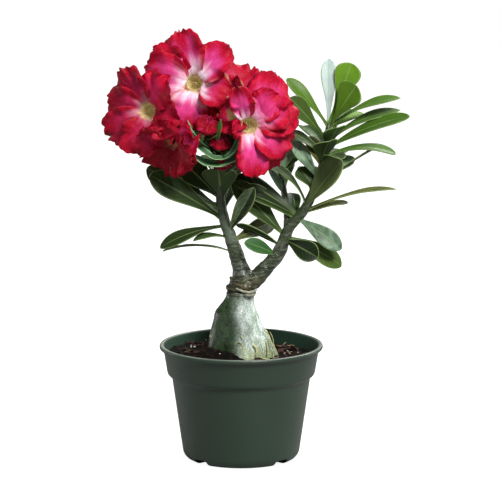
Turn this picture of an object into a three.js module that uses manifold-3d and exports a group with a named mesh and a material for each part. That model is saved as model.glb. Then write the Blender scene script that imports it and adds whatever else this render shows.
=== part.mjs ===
// A desert rose (adenium) in a plastic nursery pot, in millimetres, +Z up.
//
// The plant is a swollen rootstock (the caudex) that stands in a hole in the potting mix, with a
// grafted woody fork on its neck. Two leafy stems grow from the fork, and the right one has a side
// shoot. The left one ends in a bunch of flower stalks, with six ruffled blooms and three buds.
// The origin is the middle of the pot's flat base, on the surface that the pot stands on.
// +X is to the right and +Y to the back, seen from the side where most blooms face.
import * as THREE from "three";
import { mergeVertices } from "three/addons/utils/BufferGeometryUtils.js";
import Module from "manifold-3d";

const wasm = await Module();
wasm.setup();

// ---- Driving dimensions -------------------------------------------------------------------

const GAP = 0.3; // between pieces that touch
const SMALLEST_STEP = 0.04; // details smaller than this are merged

const POT = {
  rimRadius: 76, // a nominal 6-inch azalea pot
  height: 107.5,
  wall: 1.5,
  baseRadius: 49.4,
  baseRound: 5.6, // radius of the rounded bottom corner
  bodyRadius: 54.4, // just above the rounded corner
  shoulderRadius: 64.4, // top of the tapered body, under the collar
  shoulderHeight: 76.6,
  collarRadius: 68.9, // bottom of the collar
  collarHeight: 81.5,
  collarTopRadius: 72.4, // under the rolled lip
  lipHeight: 3.6,
  lipRound: 1.2, // rounded edges of the lip
  sides: 40,
};
const DRAIN = { count: 4, width: 15, height: 5.4, reach: 17 }; // cut-outs in the bottom corner

const SOIL = {
  level: 97.5, // height of the potting mix in the middle of the pot
  slope: 0.035, // how it rises to the left
  mound: 10, // how much higher it is heaped against the caudex, at the front left
  moundAt: [-25, -15],
  moundWidth: 20,
  lumps: 0.65, // half height of the crumbs
  topRadius: 68.6,
  clearance: 0.5, // to the pot's wall
  rings: 6,
  sides: 32,
  seed: 7,
};
const CHIPS = { count: 16, length: [4, 10], thickness: [1.6, 3], reach: [38, 62] }; // bark on top

const GRAFT_HEIGHT = 158; // where the fork sits on the rootstock
const KNOB = { at: [-20.4, -7, 141], radius: 2.4 }; // on the side of the rootstock
const LEAF = { thickness: 1.0, petiole: 1.5, stations: 5, sunk: 1.6 }; // petiole: its half width
const PETAL = { thickness: 1.1, stations: 4, across: 4, rise: 62 }; // rise: slope at the throat, degrees
const BLOOM = {
  tubeLength: 26,
  tubeRadius: 2.4,
  throatRadius: 6.6,
  wall: 1.0,
  sides: 9,
  sepal: 7,
};
const STALK = { radius: 1.7, footRadius: 2.8, straight: 6, sides: 5, stations: 5 };
const SEPAL = { count: 5, width: 3.4, thickness: 0.8, foot: 3.1, spread: 3.2 };
const HUB = { at: [-23, -11.8, 285], radius: 4.2 }; // where all flower stalks meet

// ---- Solids and meshes --------------------------------------------------------------------

// A manifold-3d solid from vertex coordinates and triangles, facing outwards.
function solidFrom(coordinates, triangles) {
  const geometry = new THREE.BufferGeometry()
    .setAttribute("position", new THREE.Float32BufferAttribute(coordinates, 3))
    .setIndex(triangles);
  return solidOf(geometry);
}

function solidOf(geometry) {
  const bare = geometry.clone();
  bare.deleteAttribute("normal");
  bare.deleteAttribute("uv");
  const merged = mergeVertices(bare, 1e-4);
  const corners = merged.index.array;
  const kept = [];
  for (let i = 0; i < corners.length; i += 3) {
    const [a, b, c] = corners.subarray(i, i + 3);
    if (a !== b && b !== c && c !== a) kept.push(a, b, c);
  }
  const build = (triVerts) =>
    new wasm.Manifold(
      new wasm.Mesh({
        numProp: 3,
        vertProperties: new Float32Array(merged.attributes.position.array),
        triVerts: new Uint32Array(triVerts),
      }),
    );
  const made = build(kept);
  if (made.volume() > 0) return made;
  return build(kept.map((_, i) => kept[i - (i % 3) + (2 - (i % 3))]));
}

const fuse = (solids) => wasm.Manifold.union(solids);

function mesh(name, solid, material) {
  const pieces = solid.simplify(SMALLEST_STEP).decompose();
  const whole = pieces.sort((a, b) => b.volume() - a.volume())[0];
  const { numProp, numVert, vertProperties, triVerts } = whole.getMesh();
  const coordinates = [];
  for (let i = 0; i < numVert; i++)
    coordinates.push(...vertProperties.subarray(i * numProp, i * numProp + 3));
  const geometry = new THREE.BufferGeometry()
    .setAttribute("position", new THREE.Float32BufferAttribute(coordinates, 3))
    .setIndex([...triVerts]);
  geometry.computeVertexNormals();
  const made = new THREE.Mesh(geometry, material);
  made.name = name;
  return made;
}

// Repeatable random numbers from 0 to 1.
function randomFrom(seed) {
  let state = seed;
  return () => {
    state = (state * 16807) % 2147483647;
    return state / 2147483647;
  };
}

const degrees = THREE.MathUtils.degToRad;
const vector = (x, y, z) => new THREE.Vector3(x, y, z);
const mix = THREE.MathUtils.lerp;

// A closed solid through rings of points, each ring with the same number of points.
function loft(rings) {
  const sides = rings[0].length;
  const coordinates = rings.flat().flatMap((p) => [p.x, p.y, p.z]);
  const middle = (ring) =>
    ring.reduce((sum, p) => sum.add(p), vector(0, 0, 0)).divideScalar(sides);
  const triangles = [];
  for (let i = 0; i + 1 < rings.length; i++)
    for (let k = 0; k < sides; k++) {
      const a = i * sides + k;
      const b = i * sides + ((k + 1) % sides);
      triangles.push(a, b, b + sides, a, b + sides, a + sides);
    }
  const ends = [middle(rings[0]), middle(rings[rings.length - 1])];
  coordinates.push(...ends.flatMap((p) => [p.x, p.y, p.z]));
  const first = rings.length * sides;
  const last = (rings.length - 1) * sides;
  for (let k = 0; k < sides; k++) {
    const next = (k + 1) % sides;
    triangles.push(first, next, k, first + 1, last + k, last + next);
  }
  return solidFrom(coordinates, triangles);
}

// A thin closed blade: rows of points on its middle surface, each row with its half thickness.
// Both faces are split into triangles alike, so a waved blade doesn't cross itself.
function blade(rows, lifts) {
  const [count, across] = [rows.length, rows[0].length];
  const coordinates = [1, -1].flatMap((side) =>
    rows.flatMap((row, i) =>
      row.flatMap((p) => p.clone().addScaledVector(lifts[i], side).toArray()),
    ),
  );
  const at = (side, i, j) => side * count * across + i * across + j;
  const triangles = [];
  for (let i = 0; i + 1 < count; i++)
    for (let j = 0; j + 1 < across; j++)
      for (const side of [0, 1]) {
        const [a, b, c, d] = [at(side, i, j), at(side, i + 1, j), at(side, i + 1, j + 1), at(side, i, j + 1)];
        if (side === 0) triangles.push(a, b, c, a, c, d);
        else triangles.push(a, c, b, a, d, c);
      }
  const edge = [];
  for (let i = 0; i < count - 1; i++) edge.push([i, 0]);
  for (let j = 0; j < across - 1; j++) edge.push([count - 1, j]);
  for (let i = count - 1; i > 0; i--) edge.push([i, across - 1]);
  for (let j = across - 1; j > 0; j--) edge.push([0, j]);
  edge.forEach(([i, j], n) => {
    const [ni, nj] = edge[(n + 1) % edge.length];
    triangles.push(at(0, ni, nj), at(0, i, j), at(1, i, j));
    triangles.push(at(0, ni, nj), at(1, i, j), at(1, ni, nj));
  });
  return solidFrom(coordinates, triangles);
}

// A smooth line through stem points [x, y, z, radius]; place(t) gives its point and radius.
function stemLine(points) {
  const line = new THREE.CatmullRomCurve3(
    points.map(([x, y, z]) => vector(x, y, z)),
    false,
    "catmullrom",
    0.5,
  );
  const place = (t) => {
    const step = Math.min(t * (points.length - 1), points.length - 1 - 1e-9);
    const i = Math.floor(step);
    return { point: line.getPoint(t), radius: mix(points[i][3], points[i + 1][3], step - i) };
  };
  return { place, tangent: (t) => line.getTangent(t) };
}

function stemSolid(line, stations, sides, swell = () => 1) {
  const rings = [];
  for (let i = 0; i <= stations; i++) {
    const t = i / stations;
    const { point, radius } = line.place(t);
    const along = line.tangent(t);
    const back = vector(0, 1, 0).addScaledVector(along, -along.y).normalize();
    const side = back.clone().cross(along);
    const ring = [];
    for (let k = 0; k < sides; k++) {
      const angle = (2 * Math.PI * k) / sides;
      const reach = radius * swell(t, angle);
      ring.push(
        point
          .clone()
          .addScaledVector(side, reach * Math.cos(angle))
          .addScaledVector(back, reach * Math.sin(angle)),
      );
    }
    rings.push(ring);
  }
  return loft(rings);
}

// ---- Materials ----------------------------------------------------------------------------

const finish = (color, roughness) =>
  new THREE.MeshStandardMaterial({ color, roughness, metalness: 0 });
const potGreen = finish(0x34443a, 0.45);
const pottingMix = finish(0x2b1a16, 0.95);
const barkGreen = finish(0x7f9480, 0.6);
const scionBark = finish(0x59604a, 0.75);
const leafGreen = finish(0x33511f, 0.4);
const stalkGreen = finish(0x5c7f48, 0.5);
const petalRed = finish(0xc01540, 0.55);

// ---- Pot ----------------------------------------------------------------------------------

function makePot() {
  const p = POT;
  const outer = [
    [0, 0],
    [p.baseRadius, 0],
    [p.baseRadius + 3.2, 1.7],
    [p.bodyRadius, p.baseRound],
    [p.shoulderRadius, p.shoulderHeight],
    [p.collarRadius, p.collarHeight],
    [p.collarTopRadius, p.height - p.lipHeight],
    [p.rimRadius, p.height - p.lipHeight + 0.5],
    [p.rimRadius, p.height - p.lipRound],
    [p.rimRadius - p.lipRound, p.height],
  ];
  const inner = [
    [p.collarTopRadius - 0.2, p.height - p.lipRound / 2],
    [p.collarTopRadius - p.wall, p.height - p.lipHeight],
    [p.collarRadius - p.wall, p.collarHeight - 0.5],
    [p.shoulderRadius - p.wall, p.shoulderHeight - 1.5],
    [p.bodyRadius - p.wall, p.baseRound + 0.6],
    [p.baseRadius - 1, p.wall],
    [0, p.wall],
  ];
  const profile = [...outer, ...inner].map(([r, z]) => new THREE.Vector2(r, z));
  const shell = new THREE.LatheGeometry(profile, p.sides).rotateX(Math.PI / 2);
  let pot = solidOf(shell);
  for (let k = 0; k < DRAIN.count; k++) {
    const cut = new THREE.BoxGeometry(DRAIN.reach, DRAIN.width, 2 * DRAIN.height)
      .translate(p.bodyRadius + 2 - DRAIN.reach / 2, 0, 0)
      .rotateZ((2 * Math.PI * (k + 0.5)) / DRAIN.count);
    pot = pot.subtract(solidOf(cut));
  }
  return mesh("pot", pot, potGreen);
}

// ---- Caudex -------------------------------------------------------------------------------

// Rings of the rootstock: height, middle x, radius, depth of the root lobes.
const CAUDEX_RINGS = [
  [52, 0, 7, 0],
  [62, 0, 15, 0.05],
  [76, 1, 24, 0.1],
  [89, 1, 29.5, 0.14],
  [98, 0.5, 31, 0.12],
  [105, -0.4, 30, 0.08],
  [113, -1.8, 28.2, 0.04],
  [123, -3.6, 24.7, 0.03],
  [132, -4.1, 21.6, 0.02],
  [138.8, -4.8, 19.2, 0.02],
  [145.7, -3.2, 15.5, 0.01],
  [151, -1.6, 13.5, 0.02],
  [154, -0.6, 13.2, 0.02],
  [GRAFT_HEIGHT - 2.2, 0.2, 14.0, 0.01],
  [GRAFT_HEIGHT, 0.6, 13.0, 0],
];
const CAUDEX_LOBES = 5;
const CAUDEX_SIDES = 20;

// The rootstock with its buttress roots; spare makes the larger copy that cuts the soil's hole.
function caudexBody(spare) {
  const rings = CAUDEX_RINGS.map(([height, x, radius, lobe]) => {
    const ring = [];
    for (let k = 0; k < CAUDEX_SIDES; k++) {
      const angle = (2 * Math.PI * k) / CAUDEX_SIDES;
      const swell = 1 + lobe * Math.cos(CAUDEX_LOBES * angle + 0.9) + 0.4 * lobe * Math.sin(2 * angle);
      const reach = radius * swell + spare;
      ring.push(vector(x + reach * Math.cos(angle), reach * Math.sin(angle), height));
    }
    return ring;
  });
  if (spare > 0) rings[0].forEach((p) => (p.z -= spare));
  return loft(rings);
}

// Thin roots that leave the caudex above the soil and run down it, as [x, y, z, radius].
const SURFACE_ROOTS = [
  [[21.4, -12, 122, 1.5], [25.6, -13, 117, 1.3], [28, -13.5, 111, 1.2], [31, -14, 104, 1.1]],
  [[-4, -28.6, 113, 1.2], [0, -29.4, 114.2, 1.1], [3.6, -30, 111, 1.0], [6.4, -31, 107, 0.9]],
  [[14, -24.5, 112, 1.4], [18.5, -25.5, 107.5, 1.4], [16.5, -28, 103, 1.2]],
];

function makeCaudex() {
  const roots = SURFACE_ROOTS.map((points) => stemSolid(stemLine(points), 5, 5));
  const knob = solidOf(new THREE.SphereGeometry(KNOB.radius, 7, 5).translate(...KNOB.at));
  return mesh("caudex", fuse([caudexBody(0), knob, ...roots]), barkGreen);
}

// ---- Potting mix --------------------------------------------------------------------------

function soilHeight(x, y) {
  const [moundX, moundY] = SOIL.moundAt;
  const away = ((x - moundX) ** 2 + (y - moundY) ** 2) / (2 * SOIL.moundWidth ** 2);
  const crumbs =
    Math.sin(x * 0.63 + 1.3) * Math.cos(y * 0.57) + 0.7 * Math.sin(x * 0.31 - y * 0.83 + 2);
  return SOIL.level - SOIL.slope * x + SOIL.mound * Math.exp(-away) + SOIL.lumps * crumbs;
}

function makeSoil() {
  const p = POT;
  const clear = p.wall + SOIL.clearance;
  const sides = [
    [p.baseRadius - 4, p.wall + GAP],
    [p.bodyRadius - clear - 3.4, p.baseRound],
    [p.bodyRadius - clear, p.baseRound + 5],
    [p.shoulderRadius - clear - 0.8, p.shoulderHeight - 4],
    [p.collarRadius - clear - 1.4, p.collarHeight + 2],
  ];
  const rings = sides.map(([r, z]) => circle(r, () => z));
  for (let i = 0; i < SOIL.rings; i++) {
    const r = SOIL.topRadius * (1 - i / SOIL.rings);
    rings.push(circle(r, (x, y) => soilHeight(x, y) - (i === 0 ? 1.2 : 0)));
  }
  const random = randomFrom(SOIL.seed);
  const chips = [];
  for (let i = 0; i < CHIPS.count; i++) {
    const angle = 2 * Math.PI * random();
    const reach = mix(...CHIPS.reach, Math.sqrt(random()));
    const [x, y] = [reach * Math.cos(angle), reach * Math.sin(angle)];
    const long = mix(...CHIPS.length, random());
    const chip = new THREE.BoxGeometry(long, long * 0.6, mix(...CHIPS.thickness, random()))
      .rotateX(mix(-0.5, 0.5, random()))
      .rotateZ(2 * Math.PI * random())
      .translate(x, y, soilHeight(x, y) + 0.3);
    chips.push(solidOf(chip));
  }
  const filled = fuse([loft(rings), ...chips]);
  return mesh("potting_mix", filled.subtract(caudexBody(GAP)), pottingMix);
}

function circle(radius, height) {
  const ring = [];
  for (let k = 0; k < SOIL.sides; k++) {
    const angle = (2 * Math.PI * k) / SOIL.sides;
    const [x, y] = [radius * Math.cos(angle), radius * Math.sin(angle)];
    ring.push(vector(x, y, height(x, y)));
  }
  return ring;
}

// ---- Stems --------------------------------------------------------------------------------

// Points of each stem: x, y, z, radius.
const FORK_LEFT = [
  [0.6, 0, GRAFT_HEIGHT + GAP, 12.6],
  [1.5, 0, 161.5, 13.6],
  [2.6, 0, 166, 12.4],
  [1.4, 0, 172, 10.2],
  [-0.4, 0, 179, 7.9],
  [-2.2, 0, 185, 7.2],
];
const FORK_RIGHT = [
  [3, 0, 163, 9],
  [9.5, 0, 166.5, 8.8],
  [16.5, 0, 172.4, 7.9],
  [24, 0, 180.3, 7.3],
];
const STEM_LEFT = [
  [-2.3, 0, 185.3, 7.1],
  [-4.3, 0, 191.7, 6.9],
  [-7.4, -1, 201, 6.3],
  [-10.6, -2, 211, 5.8],
  [-14.6, -3, 222, 5.2],
  [-17.8, -5, 236, 4.6],
  [-19.4, -7, 251, 4.2],
  [-20.6, -9, 266, 3.8],
  [-22.4, -11, 280, 3.4],
];
const STEM_RIGHT = [
  [24.3, 0, 180.7, 7.2],
  [29.8, 0, 187, 6.9],
  [35.4, 0, 194.6, 6.4],
  [40, 1, 206.4, 5.6],
  [45.4, 2, 218.4, 5.1],
  [54.4, 2, 228.6, 4.8],
  [62, 3, 239.8, 4.4],
  [68.4, 4, 255, 4],
  [73.8, 5, 271, 3.6],
  [77.4, 6, 287, 3.3],
  [79.7, 7, 302, 3],
  [81, 8, 315, 2.6],
];
const SIDE_SHOOT = [
  [42.6, 3, 216, 3.6],
  [42.6, 6, 226, 3.3],
  [41.4, 9, 238, 3.1],
  [39.6, 13, 250, 2.9],
  [37.8, 15, 261, 2.6],
  [36.2, 17, 271, 2.3],
];

// ---- Leaves -------------------------------------------------------------------------------

// A leaf: where it leaves its stem (0 to 1), its tip seen from there (x, y, z), its width, and in
// degrees the bend along its rib, the turn of its face round its own line, and the fold of its halves.
const LEFT_LEAVES = [
  [0.14, [-68, 6, 1], 15, 40, 8, 12],
  [0.31, [-35, -12, 1], 9, 62, -20, 22],
  [0.47, [-61, -8, -19], 13, 46, -30, 8],
  [0.53, [-69, -14, 43], 25, 14, -62, 8],
  [0.62, [-69, 12, 37], 22, 20, -50, 8],
  [0.7, [-31, 12, 36], 21, 20, -30, 8],
  [0.66, [-7, -15, 34], 23, 20, 0, 10],
  [0.42, [22, -23, 44], 15, 24, 120, 24],
  [0.3, [39, 33, 11], 18, 24, 50, 10],
  [0.86, [23, -17, 20], 13, 20, 40, 10],
  [0.93, [-27, -18, 19], 13, -90, -30, 14],
  [0.93, [21, -18, 24], 13, -90, 30, 14],
  [0.97, [-21, -16, 27], 12, -100, -30, 14],
  [0.97, [17, -16, 31], 12, -100, 30, 14],
  [0.58, [8, 54, 24], 21, 40, 0, 12],
  [0.76, [34, 34, 26], 20, 36, 0, 10],
  [0.44, [-30, 38, 8], 18, 50, 0, 12],
  [0.82, [-12, 54, 18], 20, 44, 0, 10],
];
const RIGHT_LEAVES = [
  [0.14, [-25, -14, 14], 12, 30, -60, 12],
  [0.22, [-42, 2, 20], 12, 22, 10, 10],
  [0.27, [31, -22, -13], 21, 36, 60, 20],
  [0.29, [-50, 4, 50], 24, 14, -56, 14],
  [0.29, [52, 0, -28], 21, 30, 50, 6],
  [0.43, [41, -14, -26], 18, 32, 60, 8],
  [0.44, [-61, 12, 35], 22, 34, -40, 8],
  [0.42, [-50, 2, 30], 20, 24, -40, 10],
  [0.42, [-3, 40, 18], 14, 30, 0, 10],
  [0.52, [-36, -4, 41], 16, 56, -20, 12],
  [0.5, [34, -16, 49], 27, 14, 70, 18],
  [0.47, [87, -4, 24], 14, 28, -6, 14],
  [0.46, [44, 8, 10], 12, 22, -14, 10],
  [0.62, [-13, 10, 19], 19, 30, -30, 8],
  [0.64, [62, 4, 38], 13, 8, -6, 12],
  [0.68, [34, 12, 17], 15, 30, 40, 8],
  [0.68, [-23, 6, 34], 14, 20, -60, 8],
  [0.72, [6, -26, 31], 24, 24, 10, 14],
  [0.74, [-12, 8, 27], 14, 20, -40, 10],
  [0.79, [66, -2, 4], 16, 54, 20, 12],
  [0.8, [10, -20, 29], 26, 20, 10, 10],
  [0.8, [-31, -2, 23], 11, 20, -40, 10],
  [0.83, [77, -6, 33], 19, 26, 30, 10],
  [0.87, [68, 12, 29], 15, 40, 20, 10],
  [0.9, [-31, -8, 40], 17, 26, -60, 12],
  [0.95, [23, -14, 43], 27, 14, 60, 12],
  [0.96, [-38, 0, 45], 15, 34, -50, 12],
  [0.96, [66, 2, 28], 14, 40, 20, 12],
  [0.95, [33, 25, 11], 12, 30, 20, 12],
  [0.98, [20, 8, 55], 27, 10, 70, 10],
  [0.99, [1, 12, 59], 14, 8, 0, 12],
  [0.6, [-6, 54, 16], 20, 40, 0, 12],
  [0.7, [26, 58, 14], 20, 40, 0, 12],
  [0.82, [-20, 56, 16], 19, 36, 0, 12],
  [0.9, [24, 58, 18], 19, 36, 0, 12],
  [0.76, [16, -44, 10], 19, 44, 0, 12],
];
const SHOOT_LEAVES = [
  [0.5, [-15, -4, 26], 10, 20, -50, 14],
  [0.75, [-18, 14, 26], 15, 30, -30, 10],
  [0.9, [18, 10, 34], 12, 20, 40, 10],
  [0.6, [4, 38, 24], 17, 40, 0, 12],
  [0.95, [-10, 22, 30], 15, 30, -10, 10],
  [0.85, [22, 30, 22], 15, 34, 10, 10],
];

// Half width of a leaf along its rib, as a share of the widest: broadest past the middle.
const leafShape = (t) => Math.sin(Math.PI * Math.min(0.985, t) ** 1.7) ** 0.6;

// The blade starts just under the bark, start millimetres along the line from the stem's middle.
function leafSolid(base, start, tip, width, bend, turn, fold) {
  const chord = vector(...tip);
  const length = chord.length();
  const first = start / length;
  const along = chord.normalize();
  const up = vector(0, 0, 1).addScaledVector(along, -along.z).normalize();
  const aside = along.clone().cross(up);
  const face = up.multiplyScalar(Math.cos(degrees(turn))).addScaledVector(aside, Math.sin(degrees(turn)));
  const across = along.clone().cross(face);
  const half = degrees(bend) / 2;
  const rows = [];
  const lifts = [];
  for (let i = 0; i < LEAF.stations; i++) {
    const t = mix(first, 1, 1 - (1 - i / (LEAF.stations - 1)) ** 1.25);
    const angle = 2 * half * t - half;
    const forward = (Math.sin(half) + Math.sin(angle)) / (2 * Math.sin(half));
    const rise = (Math.cos(angle) - Math.cos(half)) / (2 * Math.sin(half));
    const rib = base
      .clone()
      .addScaledVector(along, length * forward)
      .addScaledVector(face, length * rise);
    const normal = face
      .clone()
      .multiplyScalar(Math.cos(angle))
      .addScaledVector(along, Math.sin(angle));
    const reach = Math.max(LEAF.petiole, (width / 2) * leafShape(t));
    const tilt = degrees(fold);
    const edge = (side) =>
      rib
        .clone()
        .addScaledVector(across, side * reach * Math.cos(tilt))
        .addScaledVector(normal, reach * Math.sin(tilt));
    rows.push([edge(-1), rib, edge(1)]);
    lifts.push(normal.multiplyScalar(LEAF.thickness / 2));
  }
  return blade(rows, lifts);
}

function leafyStem(points, leaves, stations, sides) {
  const line = stemLine(points);
  const solids = leaves.map(([at, ...shape]) => {
    const { point, radius } = line.place(at);
    return leafSolid(point, Math.max(0, radius - LEAF.sunk), ...shape);
  });
  return [stemSolid(line, stations, sides), ...solids];
}

function makeFork() {
  const rough = (t, angle) => 1 + 0.05 * Math.sin(9 * t * Math.PI) + 0.03 * Math.cos(3 * angle);
  const left = stemSolid(stemLine(FORK_LEFT), 9, 14, rough);
  const right = stemSolid(stemLine(FORK_RIGHT), 6, 12, rough);
  const fork = fuse([left, right]).trimByPlane([0, 0, 1], GRAFT_HEIGHT + GAP);
  return mesh("grafted_fork", fork, scionBark);
}

// ---- Blooms -------------------------------------------------------------------------------

// Each bloom: the middle of its throat, the way it faces, and its petals. A petal is its angle
// round the throat (0 to the right, 90 up), its length and width, its lift from the bloom's plane,
// how far its end curls back, its tilt to one side, its ruffle height and the ruffle's phase.
const BLOOMS = {
  bloom_top: {
    throat: [-43.5, -36, 356.5],
    facing: [-0.22, -0.93, 0.24],
    petals: [
      [102, 46, 38, 14, 18, 12, 3.4, 0.4],
      [46, 43, 36, 12, 22, 12, 3.2, 1.7],
      [-12, 36, 32, 8, 26, 12, 3.2, 3.1],
      [-97, 40, 35, 8, 28, 12, 3.0, 4.4],
      [165, 44, 36, 16, 22, 12, 3.6, 5.3],
      [142, 45, 32, 2, 12, 8, 2.6, 2.4],
    ],
  },
  bloom_left: {
    throat: [-86, -44, 332],
    facing: [-0.42, -0.9, 0.06],
    petals: [
      [122, 40, 30, 12, 14, 12, 3.6, 0.9],
      [168, 37, 32, 10, 20, 12, 3.2, 2.2],
      [212, 43, 32, 8, 18, 12, 3.4, 3.6],
      [256, 40, 34, 10, 26, 12, 3.2, 4.9],
      [58, 34, 34, 24, 30, 12, 4.0, 0.2],
      [-14, 25, 28, 34, 30, 12, 3.6, 2.8],
    ],
  },
  bloom_low: {
    throat: [-64, -40, 299],
    facing: [-0.52, -0.66, -0.54],
    petals: [
      [-118, 35, 35, 12, 24, 12, 3.4, 1.2],
      [-168, 28, 30, 14, 24, 12, 3.2, 2.6],
      [122, 23, 28, 22, 24, 12, 3.0, 4.1],
      [42, 20, 26, 20, 24, 12, 3.0, 5.6],
      [-60, 28, 30, 10, 30, 12, 3.2, 0.5],
    ],
  },
  bloom_right: {
    throat: [8.2, -48, 318.8],
    facing: [0.22, -0.96, 0.02],
    petals: [
      [66, 47, 34, 8, 16, 12, 3.0, 0.7],
      [14, 42, 28, 10, 18, 12, 3.4, 2.0],
      [-26, 40, 34, 14, 26, 12, 3.2, 3.3],
      [-92, 44, 33, 12, 28, 12, 3.2, 4.6],
      [194, 11, 16, 24, 20, 12, 1.8, 5.8],
    ],
  },
  bloom_middle: {
    throat: [-5, -22, 331],
    facing: [-0.45, -0.78, 0.42],
    petals: [
      [80, 28, 24, 30, 8, 12, 2.6, 0.3],
      [150, 22, 24, 24, 26, 12, 2.8, 1.8],
      [222, 20, 22, 24, 30, 12, 2.6, 3.0],
      [-86, 18, 18, 26, 20, 12, 2.6, 4.2],
      [8, 15, 18, 50, 10, 12, 2.2, 5.4],
    ],
  },
  bloom_back: {
    throat: [1, 12, 338],
    facing: [0.05, -0.22, 0.97],
    petals: [
      [62, 32, 28, 56, 20, 12, 3.0, 0.6],
      [118, 36, 28, 60, 16, 12, 3.0, 1.9],
      [190, 28, 26, 28, 24, 12, 3.0, 3.2],
      [262, 22, 24, 34, 24, 12, 2.6, 4.5],
      [-14, 28, 26, 24, 24, 12, 3.0, 5.7],
    ],
  },
};

// A bud is a furled cone of petals: its foot, the way it points, its length and its widest radius.
const BUDS = {
  bud_left: { foot: [-33, -26, 311], facing: [-0.05, -0.66, 0.75], length: 18, radius: 9.5 },
  bud_right: { foot: [-17.6, -26, 297], facing: [0.1, -0.8, 0.6], length: 16, radius: 8.5 },
  bud_low: { foot: [-17, -23, 286], facing: [0.05, -0.75, -0.66], length: 12, radius: 7 },
};
const BUD = { tubeRadius: 2.2, rings: 6, sides: 10, folds: 5, fold: 0.16, twist: 1.5, sepal: 11 };

// The bloom's own directions: right and up in its plane, and out of its throat.
function bloomFrame(facing) {
  const out = vector(...facing).normalize();
  const reference = Math.abs(out.z) > 0.85 ? vector(0, 1, 0) : vector(0, 0, 1);
  const up = reference.addScaledVector(out, -reference.dot(out)).normalize();
  return { out, up, right: up.clone().cross(out) };
}

// Half width of a petal along it, as a share of the widest.
const petalShape = (s) => Math.sin(Math.PI * (0.15 + 0.83 * s) ** 1.4) ** 0.5;

function petalSolid(throat, frame, petal) {
  const [angle, length, width, lift, curl, tilt, ruffle, phase] = petal;
  const outward = frame.right
    .clone()
    .multiplyScalar(Math.cos(degrees(angle)))
    .addScaledVector(frame.up, Math.sin(degrees(angle)));
  const sideways = frame.out.clone().cross(outward);
  const rows = [];
  const lifts = [];
  let [reach, height, previous] = [BLOOM.throatRadius - 0.6, -1.2, 0];
  for (let i = 0; i < PETAL.stations; i++) {
    const s = 1 - (1 - i / (PETAL.stations - 1)) ** 1.3;
    const fine = 6;
    for (let k = 1; k <= fine && i > 0; k++) {
      const part = mix(previous, s, (k - 0.5) / fine);
      const flare = (PETAL.rise - lift) * Math.exp(-7 * part);
      const slope = degrees(lift + flare - curl * part * part * 1.6);
      reach += (Math.cos(slope) * length * (s - previous)) / fine;
      height += (Math.sin(slope) * length * (s - previous)) / fine;
    }
    previous = s;
    const half = (width / 2) * petalShape(s);
    const row = [];
    for (let j = 0; j <= PETAL.across; j++) {
      const u = (2 * j) / PETAL.across - 1;
      const turn = Math.atan2(u * half, (s - 0.45) * length);
      const rim = Math.max(Math.abs(u), s ** 3) ** 2.2 * Math.min(1, 2.5 * s);
      const wave = ruffle * rim * (Math.sin(5 * turn + phase) + 0.4 * Math.sin(9 * turn + 2.3 * phase));
      const rise = height + Math.tan(degrees(tilt)) * half * u + wave;
      row.push(
        throat
          .clone()
          .addScaledVector(outward, reach)
          .addScaledVector(sideways, half * u)
          .addScaledVector(frame.out, rise),
      );
    }
    rows.push(row);
    lifts.push(frame.out.clone().multiplyScalar(PETAL.thickness / 2));
  }
  return blade(rows, lifts);
}

// The funnel behind the petals: a narrow tube that widens to the throat.
function funnelSolid(throat, frame) {
  const { tubeLength, tubeRadius, throatRadius, wall, sides } = BLOOM;
  const profile = [
    [0, -tubeLength],
    [tubeRadius, -tubeLength],
    [tubeRadius + 0.4, -tubeLength * 0.7],
    [throatRadius * 0.84, -tubeLength * 0.4],
    [throatRadius + 1, 0],
    [throatRadius - wall, 0],
    [throatRadius * 0.84 - wall, -tubeLength * 0.4],
    [0, -tubeLength * 0.56],
  ];
  const points = profile.map(([r, z]) => new THREE.Vector2(r, z));
  const turn = new THREE.Matrix4().makeBasis(frame.right, frame.up, frame.out);
  const lathe = new THREE.LatheGeometry(points, sides)
    .rotateX(Math.PI / 2)
    .applyMatrix4(turn)
    .translate(throat.x, throat.y, throat.z);
  return solidOf(lathe);
}

function makeBloom(name, bloom) {
  const throat = vector(...bloom.throat);
  const frame = bloomFrame(bloom.facing);
  const petals = bloom.petals.map((petal) => petalSolid(throat, frame, petal));
  return mesh(name, fuse([funnelSolid(throat, frame), ...petals]), petalRed);
}

// Petals furled round each other: folds wind round the bud, and its end stays a little open.
function budSolid(bud) {
  const { out, up, right } = bloomFrame(bud.facing);
  const rings = [];
  for (let i = 0; i <= BUD.rings; i++) {
    const t = i / BUD.rings;
    const belly = mix(BUD.tubeRadius, bud.radius, Math.sin(Math.min(1, 1.5 * t) * (Math.PI / 2)) ** 1.6);
    const radius = belly * (1 - 0.45 * Math.max(0, t - 0.7) ** 0.5);
    const ring = [];
    for (let k = 0; k < BUD.sides; k++) {
      const angle = (2 * Math.PI * k) / BUD.sides;
      const wave = Math.cos(BUD.folds * angle + BUD.twist * Math.PI * t);
      const reach = radius * (1 + BUD.fold * t * wave);
      ring.push(
        vector(...bud.foot)
          .addScaledVector(out, bud.length * t + 1.2 * t * wave)
          .addScaledVector(right, reach * Math.cos(angle))
          .addScaledVector(up, reach * Math.sin(angle)),
      );
    }
    rings.push(ring);
  }
  return loft(rings);
}

// ---- Flower stalks ------------------------------------------------------------------------

const STALK_ROOT = [-23, -11.6, 281.8];

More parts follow.
